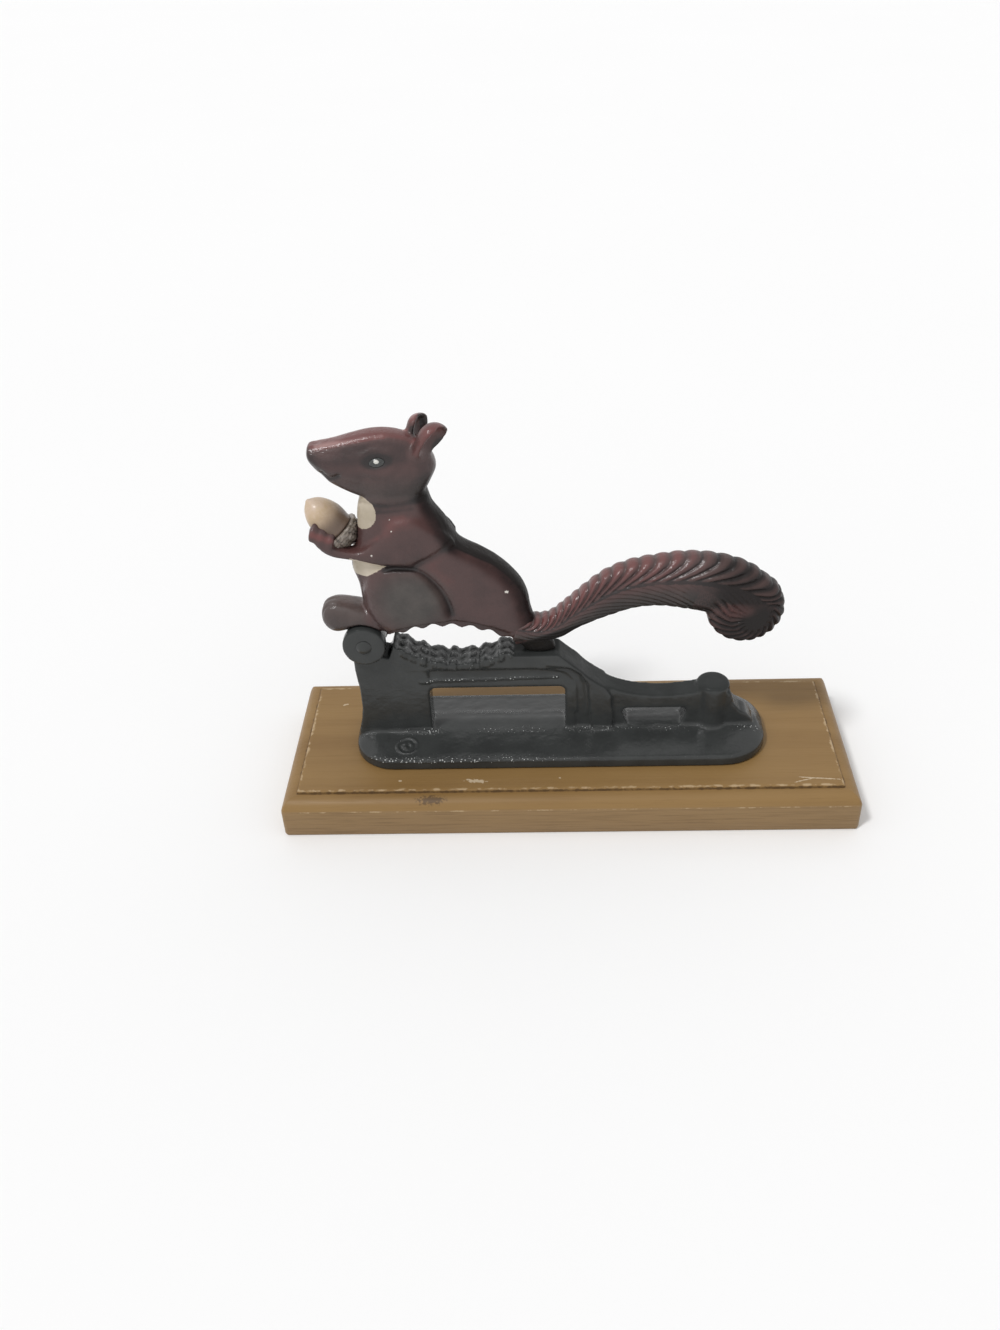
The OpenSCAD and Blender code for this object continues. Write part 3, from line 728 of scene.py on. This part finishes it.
def squirrel_tone(x, z, rel, normals):
    """Painted light and shade: lighter on top-facing skin, on the head's flat top and along
    painted highlights; painted shade in folds, in the near ear's hollow and down the back; dark
    round the eyes and on the rump's underside.
    """
    rise = normals[:, 2]
    top = head_top_share(x, z, rise)
    # painted light and shade by the skin's slant: lighter facing up, darker facing the rear
    tone = 0.41 + 0.25 * np.clip(rise, -0.5, 1) - 0.2 * ease(normals[:, 0] * 1.3)
    tone += 0.3 * top - 0.26 * ease((z - 157) / 6) * (1 - top) * ease((-x - 54) / 6)
    tone -= 0.35 * ease(1.7 - oval(x, z, EYE_AT, (4.6, 2.6), EYE_LEAN))
    # painted shade in the deepest folds
    for line, height, width in CREASES:
        if height < -0.35:
            tone -= 0.3 * stroke(x, z, line, width + 0.5)
    # painted highlights along the strokes
    for line, change, width in PAINTED_HIGHLIGHTS:
        tone += change * stroke(x, z, line, width)
    # painted highlights on the nose's ridge and the wrist
    tone += 0.5 * stroke(x, z, NOSE_HIGHLIGHT, 1.3) * ease((rise - 0.25) / 0.3)
    tone += 0.4 * stroke(x, z, WRIST_HIGHLIGHT, 1.6) * ease(rise / 0.6)
    # painted shade along the back's edge
    from_back = from_line(x, z, BACK_LINE)
    tone -= 0.5 * ease(1.9 - from_back / 1.9) + 0.22 * ease(1.6 - from_back / 7)
    # near ear: painted highlight on its lit front, painted shade in its hollow
    near_ear = (rel[:, 2] > 86) & (rel[:, 0] > 26) & (rel[:, 1] < -1)
    tone += near_ear * (0.5 * stroke(x, z, EAR_HIGHLIGHT, 3)
                        - 0.4 * ease(1.4 - oval(x, z, (-48.4, 167), (3, 4.4))))
    # far ear: its front half painted lighter as if lit, the rest a little darker
    far_ear = (rel[:, 2] > 88) & (rel[:, 0] > 24) & (rel[:, 1] > 1)
    tone += far_ear * np.where(rel[:, 0] < 30.5, 0.45, -0.1)
    return tone - 0.8 * heel_share(x, z)


def squirrel_grey(x, z, rise):
    """1 where the enamel is turned grey rather than red, partly its own greyer paint and partly a
    painted reflection of a dim room: thigh, jaw, foot, heel and back.
    """
    thigh = ease(1.5 - 1.2 * oval(x, z, (-66, 94), (17, 17)))
    low_head = ease((160 - z) / 16) * ease((z - 140) / 6) * ease((-x - 50) / 8)
    foot = ease((-x - 84) / 5) * ease((106 - z) / 8)
    back_edge = ease(1.9 - from_line(x, z, BACK_LINE) / 1.9)
    grey = thigh + 0.55 * low_head + 0.6 * foot + 0.9 * heel_share(x, z) + 0.6 * back_edge
    return np.clip(grey, 0, 1) * (1 - head_top_share(x, z, rise))


def squirrel_cream(rel):
    """Over 0 on the cream chest and belly, in millimetres from the patch's edge."""
    x, y, z = rel.T
    chest = 1 - np.hypot((x - 4.2) / 7.4, (z - 64) / 7.5)
    belly = np.minimum.reduce([z - 34.7 - 0.667 * np.maximum(x - 4.8, 0), 45 - 0.31 * x - z,
                               15 - x])
    cream = np.minimum(np.maximum(7 * chest, belly), 1 + x)
    return np.minimum(np.where(np.abs(y) < 10.2, cream, -1), 72 - z)


def paint_squirrel(mesh):
    """Values that the enamel reads: tone (painted light and shade), grey (partly a painted
    reflection), cream, chip and dull.
    """
    points, normals = get_points(mesh), calm_normals(mesh, 12)
    x, z = flat_places(points)
    rel = points - HINGE
    chip = np.full(len(rel), -9.0)
    for cx, cz, r in CHIPPED:
        chip = np.maximum(chip, r - np.hypot(x - cx, z - cz))
    near = (rel[:, 1] < -3) & (np.abs(normals[:, 1]) > 0.3)
    torso = ease((76 - rel[:, 2]) / 4) * ease((rel[:, 0] - 22) / 4)
    turned = ease((normals[:, 0] + 0.3 * normals[:, 2] - 0.1) / 0.4)
    add_values(mesh, tone=squirrel_tone(x, z, rel, normals),
               grey=squirrel_grey(x, z, normals[:, 2]), cream=squirrel_cream(rel),
               chip=np.where(near, chip, -1),
               dull=np.maximum(0.9 * torso * turned, heel_share(x, z)))


def make_squirrel(enamel):
    """The whole squirrel but for its tail, its eyes and the hinge lug."""
    mesh = remeshed(to_mesh("squirrel", *joined(squirrel_shells())), 0.62)
    ear_room = [prism(circle(HINGE[[0, 2]], EAR_ROOM_R), side * LUG_T / 2, side * BEYOND)
                for side in (-1, 1)]
    jaw_room = prism(under_jaw(UPPER["rise"] + COVER, 0), -BEYOND, BEYOND)
    mesh = cut(mesh, [jaw_room] + ear_room)
    top = HINGE[2] + UPPER["rise"] + 6
    block = [(HINGE[0] + EAR_ROOM_R, top), (HINGE[0] + UPPER["rear"], top),
             (HINGE[0] + UPPER["rear"], HINGE[2]), (HINGE[0] + EAR_ROOM_R, HINGE[2])]
    jaw = cut(to_mesh("jaw", *prism(block, -JAW_HALF, JAW_HALF)),
              [prism(under_jaw(UPPER["rise"], TOOTH), -BEYOND, BEYOND)])
    mesh = remeshed(merged([mesh, jaw]), 0.55)
    relax(mesh, 5)
    carve_squirrel(mesh)
    relax(mesh, 1, 0.5)
    paint_squirrel(mesh)
    return piece("squirrel_body", mesh, "lever", enamel, ["squirrel_lever"])


def merged(meshes):
    """Several meshes as one."""
    work = bmesh.new()
    for mesh in meshes:
        work.from_mesh(mesh)
    made = bpy.data.meshes.new("merged")
    work.to_mesh(made)
    work.free()
    return made


def make_lug(enamel):
    """Bored disc that turns on the pin between the stand's ears."""
    half = LUG_T / 2
    profile = [(-half, BORE_R + 0.3), (-half, LUG_R - 0.5), (-half + 0.5, LUG_R),
               (half - 0.5, LUG_R), (half, LUG_R - 0.5), (half, BORE_R + 0.3),
               (half - 0.3, BORE_R), (-half + 0.3, BORE_R), (-half, BORE_R + 0.3)]
    points, faces = lathe(profile)
    mesh = to_mesh("lug", points[:, [0, 2, 1]] + HINGE, faces[2:])
    # painted dark grey: painted shade for its place between the stand's ears
    add_values(mesh, tone=0.1, grey=0.8, cream=-1, chip=-1)
    return piece("hinge_lug", mesh, "lever", enamel, ["squirrel_lever"], 35)


def make_eyes(body, black, pale):
    """A glossy almond with a pale dot in each socket, set on the body's own skin."""
    points, normals = get_points(body.data), get_normals(body.data)
    x, z = flat_places(points)
    for side, name in ((-1, "near"), (1, "far")):
        for part, paint in (("eye", black), ("eye_dot", pale)):
            centre, half, lean, height, lift = EYE_PARTS[part]
            close = ((np.hypot(x - centre[0], z - centre[1]) < 1.2)
                     & (points[:, 1] * side > 0) & (normals[:, 1] * side > 0.2))
            out = unit(normals[close].mean(0))
            middle = points[close].mean(0) + out * lift
            level = np.array((math.cos(lean), 0, math.sin(lean)))
            level = unit(level - out * (level @ out))
            up = np.cross(level, out)
            up *= np.sign(up[2])
            mesh = to_mesh(part, *almond(middle, level, up, out, half, height))
            piece(f"{part}_{name}", mesh, "lever", paint)


def almond(middle, level, up, out, half, height, sides=48):
    """Domed almond on a skin."""
    a = np.linspace(0, TURN, sides, endpoint=False)
    rings = []
    for share, lift in ((0.9, -0.9), (1.0, -0.2), (0.97, 0.1), (0.85, 0.42), (0.65, 0.72),
                        (0.4, 0.92), (0.15, 0.99), (0.02, 1.0)):
        u = np.cos(a) * half[0] * share
        v = power_of(np.sin(a), 1.15) * half[1] * share
        rings.append(middle + np.outer(u, level) + np.outer(v, up) + out * lift * height)
    return shell(np.array(rings))


# ---- tail ----

def tail_rows():
    """The tail's rows, carried on round the curl with its inner end at the curl's middle."""
    rows = [r[:4] for r in TAIL]
    for angle in range(25, -216, -15):
        a = math.radians(angle)
        rows.append([CURL_AT[0] + CURL_R * math.cos(a), CURL_AT[1] + CURL_R * math.sin(a),
                     CURL_AT[0] + 3.6, CURL_AT[1] - 3.0])
    return smooth_rows(rows, 12)


def tail_places(points):
    """How far along the tail's upper edge each point lies in millimetres, and where it lies
    across the tail, from 0 at that edge to 1 at the other."""
    rows = tail_rows()
    upper, lower = rows[:, 0:2], rows[:, 2:4]
    step = np.linalg.norm(np.diff(upper * 0.7 + lower * 0.3, axis=0), axis=1)
    length = np.concatenate([[0], np.cumsum(step)])
    flat = points[:, [0, 2]] - HINGE[[0, 2]]
    best, along, across = np.full(len(flat), 1e9), np.zeros(len(flat)), np.zeros(len(flat))
    for i in range(len(rows) - 1):
        way = lower[i] - upper[i]
        size = np.linalg.norm(way)
        rel = flat - upper[i]
        s = np.clip((rel @ way) / size ** 2, -0.3, 1.0)
        off = np.linalg.norm(rel - s[:, None] * way, axis=1)
        side = rel @ np.array((-way[1], way[0])) / size
        better = off < best
        best[better] = off[better]
        along[better] = (length[i] + side)[better]
        across[better] = s[better]
    return along, across, length[-1]


def rib(phase, roundness=0.8):
    """Rounded lobes with narrow valleys: 1 on a lobe, 0 in a valley."""
    return np.abs(np.sin(math.pi * phase)) ** roundness


# flat places of a painted lit patch inside the curl, and of the smooth skin where the curl begins
CURL_LIT_PATCH, CURL_START = (73.2, 86.8), (58.8, 93.8)


def carve_tail(mesh):
    """Feathers that sweep back from the upper edge to a spine, and finer ones below it.
    Gives where each point lies across the tail, and how high on a feather."""
    points = get_points(mesh)
    along, across, end = tail_places(points)
    spine = 0.36 + 0.12 * ease((along - 115) / 25)
    pitch_at = np.linspace(-20, end + 20, 400)
    pitch = 3.6 + 2.4 * ease((pitch_at - 10) / 45) - 2.2 * ease((pitch_at - 98) / 25)
    turns = np.concatenate([[0], np.cumsum(np.diff(pitch_at) / pitch[1:])])
    sweep = 5 + 8 * ease((along - 5) / 40) - 7.5 * ease((along - 88) / 25)
    start = along + sweep * np.clip(across / spine, 0, 1) ** 1.6
    upper = rib(np.interp(start, pitch_at, turns))
    below = (across - spine) * (15 + 10 * ease(along / 40))
    lower = rib((along * 0.42 - below * 0.9) / 2.3)
    in_curl = ease((along - 112) / 12)
    share = ease((across - spine + 0.03) / 0.06) * (1 - in_curl)
    calm = 1 - in_curl * ease((across - 0.35 - 0.3 * ease((along - 140) / 20)) / 0.3)
    rim = 0.45 + 0.55 * ease(across / 0.14)
    depth = (1.4 * rim * (1 - upper) * (1 - share) + 0.6 * (1 - lower) * share) * calm
    edge = np.exp(-((across - spine) / 0.035) ** 2) * (1 - in_curl)
    fade = ease((along + 2) / 8)
    fade *= 1 - 0.9 * np.exp(-(oval(*flat_places(points), CURL_START, (7, 6))) ** 4)
    h = -(depth + 0.25 * edge) * fade + 0.04 * waves(points, 3, 9)
    stand_out(mesh, h)
    return across, 0.6 + (upper * (1 - share) * calm - 0.6) * fade


def paint_tail(mesh, across, ridge):
    """Painted light and shade: lighter where the skin faces the key light, painted highlights on
    the ridges over painted shade in the valleys, painted shade towards the end, a painted lit
    patch inside the curl.
    """
    lit = calm_normals(mesh, 14) @ np.array((-0.62, -0.1, 0.7))
    flat = flat_places(get_points(mesh))
    heel, end = heel_share(*flat), ease((flat[0] - 46) / 26)
    red = ease(1.4 - oval(*flat, CURL_LIT_PATCH, (9, 4.5)))
    # painted light by the skin's slant towards the key light, darker on the lower half
    tone = 0.4 + 0.42 * np.clip(lit, -0.5, 1) - 0.16 * ease((across - 0.4) / 0.3)
    # a painted lit patch inside the curl, painted shade towards the end, near-black on the rump's
    # underside
    tone += 0.4 * red - 0.38 * end - heel
    # painted highlight on the feathers' ridges, painted shade in their valleys
    tone += 0.22 * ease((ridge - 0.7) / 0.3) - 0.34 * ease((0.6 - ridge) / 0.4) * (across < 0.42)
    # grey on the lower half and towards the end: painted shade and reflection
    grey = np.maximum(0.6 * ease((across - 0.45) / 0.2), 0.35 * end) * (1 - red)
    add_values(mesh, tone=tone, grey=np.maximum(grey, 0.9 * heel), cream=-1, chip=-1,
               dull=np.maximum(0.65 * end, heel))


def curl_shell():
    """Curled end of the tail: a thick disc with rounded edges."""
    flat = CURL_T / 2 - CURL_EDGE
    profile = [(-CURL_T / 2, 0.5)]
    for i in range(13):
        a = math.pi * (i / 12 - 0.5)
        profile.append((CURL_EDGE * math.sin(a) + math.copysign(flat, a),
                        CURL_R - CURL_EDGE + CURL_EDGE * math.cos(a)))
    profile.append((CURL_T / 2, 0.5))
    points, faces = lathe(profile)
    return points[:, [0, 2, 1]] + HINGE + (CURL_AT[0], 0, CURL_AT[1]), faces


def make_tail(enamel):
    shells = [skin(TAIL, across=2.6, through=2.6, steps=8, sides=72), curl_shell()]
    mesh = remeshed(to_mesh("tail", *joined(shells)), 0.42)
    relax(mesh, 8)
    across, ridge = carve_tail(mesh)
    relax(mesh, 1, 0.4)
    paint_tail(mesh, across, ridge)
    return piece("squirrel_tail", mesh, "lever", enamel, ["squirrel_lever"])


# ---- acorn ----

ACORN_AT, ACORN_LEAN, NUT_R, NUT_L, CAP_R, CAP_H = (-5.8, 0, 53.2), 39, 7.6, 18, 9.1, 8.2


def place_acorn(points):
    turn = np.array(Matrix.Rotation(math.radians(-ACORN_LEAN), 3, "Y"))
    return points @ turn.T + HINGE + ACORN_AT


def make_acorn(nut_paint, cap_paint):
    """A nut with a pointed end, and a cap with rings of scales."""
    profile = smooth_rows([(0.002, 0.04), (0.003, 0.88), (0.13, 0.97), (0.3, 1.0), (0.47, 0.965),
                           (0.65, 0.83), (0.8, 0.62), (0.9, 0.39), (0.96, 0.18), (0.99, 0.09),
                           (0.999, 0.014)], 4) * (NUT_L, NUT_R)
    points, faces = lathe(profile)
    turned = 1 + 0.012 * waves(points, 9, 21)
    mesh = to_mesh("nut", place_acorn(points * np.column_stack([turned, turned, 0 * turned + 1])),
                   faces)
    add_values(mesh, along=points[:, 2] / NUT_L)
    piece("acorn_nut_piece", mesh, "lever", nut_paint, ["acorn_nut"])
    profile = [(-CAP_H * math.cos(a), CAP_R * math.sin(a))
               for a in np.linspace(0.03, math.pi / 2, 40)]
    profile += [(0.02, CAP_R - 0.25), (0.03, 0.3)]
    points, faces = lathe(profile, 144)
    angle = np.arctan2(points[:, 1], points[:, 0])
    down = np.arccos(np.clip(-points[:, 2] / CAP_H, -1, 1))
    ring = np.floor(down / 0.2)
    scales = rib(down / 0.2, 0.7) * rib(angle * (2 + 2.2 * ring) / TURN + 0.5 * (ring % 2), 0.7)
    out = 1 - 0.085 * (1 - scales)
    points = points * np.column_stack([out, out, np.where(points[:, 2] < 0, out, 1)])
    mesh = to_mesh("cap", place_acorn(points), faces)
    piece("acorn_cap_piece", mesh, "lever", cap_paint, ["acorn_cap"])


# ---- stand ----

# the lower jaw: its arc and its teeth, with drop from the hinge to the arc's lowest point
LOWER = {"front": -73, "rear": -25, "middle": -47, "radius": 41, "drop": 13.2, "teeth": 7}
LOWER_TIPS = np.linspace(LOWER["front"], LOWER["rear"], 2 * LOWER["teeth"] + 1)[1::2]
# screws, height of the foot plate's ridge over the board, and its fall to the sides
SCREWS, FOOT_RIDGE, FOOT_FALL = ((-72, -15), (66, 15)), 9.0, 3.5 / 24
LEDGE = [(-64, 56.3), (-34, 56.5), (-4, 57.1)]
# raised lines round the large window's upper rear corner, in X and Z
CONTOURS = ([(-11.4, 62.4), (-1.3, 60.5), (2.7, 57.0), (4.1, 51.9), (4.4, 38)],
            [(-8, 65), (0.7, 63.8), (5.4, 60.4), (8.1, 53.5), (8.8, 46.5), (9.2, 36)])


def carve_jaw(points, sideways):
    """Relief of the lower jaw: lumps below its tips and rows of lumps along its edge. Also
    gives where the teeth are, and how high on a lump each point lies."""
    x, y, z = points.T
    across = np.clip(x, LOWER["front"], LOWER["rear"]) - LOWER["middle"]
    arc = HINGE[2] - LOWER["drop"] + LOWER["radius"] - np.sqrt(LOWER["radius"] ** 2 - across ** 2)
    drop = arc - z
    h = np.zeros(len(points))
    for i, tip in enumerate(LOWER_TIPS):
        long = 3.2 + 1.1 * math.sin(3.1 * i)
        lump = np.exp(-((x - tip) / 1.7) ** 2) * ease((drop + 2.2) / 2) * ease((long - drop) / 2)
        h += 0.6 * lump * sideways * (np.abs(y) > 4)
    in_jaw = ease((x - LOWER["front"] + 2) / 2) * ease((LOWER["rear"] + 3 - x) / 2)
    teeth = in_jaw * ease((3 - drop) / 2)
    lumps = np.abs(np.sin((x - LOWER["front"]) * math.pi / 4.3)) ** 0.7
    lumps = lumps * np.abs(np.cos(y * math.pi / 5.4 + 0.5 * np.sin(x * 1.3))) ** 0.6
    return h + teeth * (0.75 * lumps - 0.3 + 0.08 * waves(points, 2.4, 32)), teeth, lumps


def carve_stand(mesh):
    """Rough lower teeth, ledge, contours, a ring over the screw and casting unevenness."""
    points, normals = get_points(mesh), get_normals(mesh)
    x, y, z = points.T
    sideways, face = ease((np.abs(normals[:, 1]) - 0.2) * 2), np.abs(y) > 4
    h, teeth, lumps = carve_jaw(points, sideways)
    ledge = stroke(x, z, LEDGE, 0.8) * face
    h += 0.5 * ledge * sideways
    for line in CONTOURS:
        h += 0.45 * stroke(x, z, line, 0.75) * sideways * face
    out, low = np.hypot(x - SCREWS[0][0], y - SCREWS[0][1]), z < 31
    ring = np.exp(-((out - 4.5) / 0.5) ** 2) * low
    h += 0.3 * ring - 0.35 * np.exp(-((out - 3.5) / 0.6) ** 2) * low
    h += 0.5 * ease((3 - out) / 1.5) * waves(points, 3.2, 36) * low
    h += 0.045 * waves(points, 9, 33) + 0.015 * waves(points, 2.6, 34)
    stand_out(mesh, h)
    # sandy roughens the skin and places painted glints: pale specks along the flange's near edge,
    # the legs' roots, the teeth's lumps, the ledge and the ring over the screw
    edge = ease((26.2 - z) / 1.2) * ease((z - 23.4) / 1) * ease((np.abs(y) - 18) / 3)
    fade = 0.15 + 0.85 * ease((25 - x) / 70)
    root = np.exp(-((np.abs(y) - 6.5) / 2) ** 2) * ease((30.5 - z) / 1.5)
    sandy = np.maximum(edge * fade, 0.9 * root * (0.5 + 0.8 * waves(points, 25, 35)))
    sandy = np.maximum.reduce([sandy, 0.5 * teeth * ease((lumps - 0.55) / 0.2),
                               0.95 * ledge * (x < -3), 0.45 * ring])
    up = 0.35 * np.abs(normals[:, 0]) + 0.8 * normals[:, 2]
    add_values(mesh, sandy=np.clip(sandy, 0, 1),
               dull=ease((up - 0.25) / 0.3) * ease((z - 33) / 3) * (1 - teeth))


def plug(at, radius=4.7, sides=40):
    """Enamel over a screw, level with the foot plate's slope."""
    rings = []
    for share, low in ((1, True), (1, False), (0.5, False), (0.05, False)):
        x, y = circle(at, radius * share, sides).T
        top = BOARD_TOP + FOOT_RIDGE - FOOT_FALL * np.abs(y)
        rings.append(np.column_stack([x, y, np.full(sides, BOARD_TOP + 1) if low else top]))
    return shell(np.array(rings))


def make_stand(enamel):
    plugs = to_mesh("plugs", *joined([plug(at) for at in SCREWS]))
    mesh = remeshed(merged([frame["nodes"]["cast_stand"].data, plugs]), 0.6)
    relax(mesh, 4)
    carve_stand(mesh)
    return piece("stand_casting", mesh, "stand", enamel, ["cast_stand"])


# ---- board ----

BOARD_L, BOARD_W = 254.0, 89.0


def board_ring(inset, height, corner=2.0, steps=6):
    """One ring of the board's surface, at an inset from its outer edge."""
    half_x, half_y = BOARD_L / 2 - inset, BOARD_W / 2 - inset
    r = max(corner - inset, 0.25)
    points = []
    for k, (sx, sy) in enumerate(((1, 1), (-1, 1), (-1, -1), (1, -1))):
        for a in np.linspace(0, math.pi / 2, steps) + k * math.pi / 2:
            points.append((sx * (half_x - r) + r * math.cos(a),
                           sy * (half_y - r) + r * math.sin(a), height))
    return points


def make_board(wood):
    """Board with a moulded edge and a low step, from rings of inset and height."""
    profile = [(1.0, 0.0), (0.35, 0.2), (0.0, 0.9), (0.0, 7.0), (0.0, 13.2), (0.06, 13.9),
               (0.35, 14.5), (0.9, 15.7), (1.7, 16.9), (2.7, 17.8), (3.8, 18.4), (4.9, 18.7),
               (5.9, 18.8), (6.6, 18.8), (6.9, 18.72), (7.0, 19.0), (7.05, 19.6), (7.25, 19.9),
               (7.7, 20.0), (9.0, 20.0), (20.0, 20.0)]
    rings = np.array([board_ring(*row) for row in profile])
    points, faces = shell(rings)
    mesh = to_mesh("board", points, faces)
    inset = np.repeat([p[0] for p in profile], rings.shape[1])
    height = points[:, 2]
    # wear along the top's edge and the lower arris, a painted highlight band on the moulding's
    # round, less of both on the rest of the moulding
    worn = 0.85 * np.exp(-((inset - 7.5) / 0.35) ** 2)
    worn += 0.4 * np.exp(-((height - 16.6) / 0.9) ** 2)
    worn += 0.5 * np.exp(-((height - 13.9) / 0.5) ** 2)
    worn -= 0.3 * ((height > 14) & (height < 18.7))
    # painted shade in the small step at the top's edge
    dirt = np.exp(-((inset - 6.85) / 0.3) ** 2)
    add_values(mesh, worn=worn, dirt=dirt, face=height < 14)
    return piece("board", mesh, "stand", wood, ["wood_board"], 28)


# ---- floor, light and camera ----

def make_floor():
    s = Shader("pale_floor")
    where = s.node("TexCoord", output="Object")
    tint = s.mix(s.noise(where, 3, 2), (0.925, 0.925, 0.925), (0.94, 0.94, 0.94))
    s.finish(Base_Color=tint, Roughness=0.9)
    mesh = bpy.data.meshes.new("floor")
    mesh.from_pydata([(-6, -4, 0), (6, -4, 0), (6, 14, 0), (-6, 14, 0)], [], [(0, 1, 2, 3)])
    mesh.materials.append(s.material)
    obj = linked("floor", mesh)


def make_world(for_diffuse=0.66):
    """White to the camera and in reflections, dimmer where it lights the object."""
    world = bpy.data.worlds.new("studio")
    bpy.context.scene.world = world
    nodes = Nodes(world)
    seen = 0
    for name in ("Is Camera Ray", "Is Glossy Ray", "Is Transmission Ray"):
        seen = nodes.maths("MAXIMUM", seen, nodes.node("LightPath", output=name))
    skies = [nodes.node("Background", {"Color": (1, 1, 1), "Strength": strength})
             for strength in (for_diffuse, 1.0)]
    nodes.node("OutputWorld", {"Surface": nodes.node("MixShader", enumerate([seen, *skies]))})


def make_sun(name, towards, strength, angle):
    data = bpy.data.lights.new(name, "SUN")
    data.energy, data.angle = strength, math.radians(angle)
    turn = Vector(towards).to_track_quat("Z", "Y").to_euler()
    linked(name, data).rotation_euler = turn


def make_camera():
    data = bpy.data.cameras.new("camera")
    data.sensor_width = SENSOR
    data.lens = LENS_PIXELS / FRAME_PIXELS * SENSOR
    data.clip_start, data.clip_end = 0.01, 50
    obj = linked("camera", data)
    axes = Matrix(np.column_stack([RIGHT, UP, BACK]).tolist()).to_4x4()
    obj.matrix_world = Matrix.Translation(Vector(EYE * MM)) @ axes
    bpy.context.scene.camera = obj


def repaint(node, material):
    """Gives a CAD node that is shown as it is a better material."""
    obj = frame["nodes"][node]
    obj.data.materials.clear()
    obj.data.materials.append(material)


def main():
    brown, black = brown_enamel("brown_enamel"), black_enamel("black_enamel")
    body = make_squirrel(brown)
    make_eyes(body, eye_paint("eye_black", False), eye_paint("eye_dot", True))
    make_lug(brown)
    make_tail(brown)
    make_acorn(acorn_paint("acorn_tan", True), acorn_paint("acorn_brown", False))
    make_stand(black)
    make_board(stained_wood("stained_wood"))
    repaint("pivot_pin", black_enamel("black_pin", 0.1))
    repaint("stand_screws", black_enamel("black_screw", 0.2))
    make_floor()
    make_world()
    make_sun("key", (-0.42, -0.34, 0.84), 1.45, 9)
    make_camera()
    bpy.context.scene.view_settings.view_transform = "Standard"


main()
bpy.context.view_layer.update()
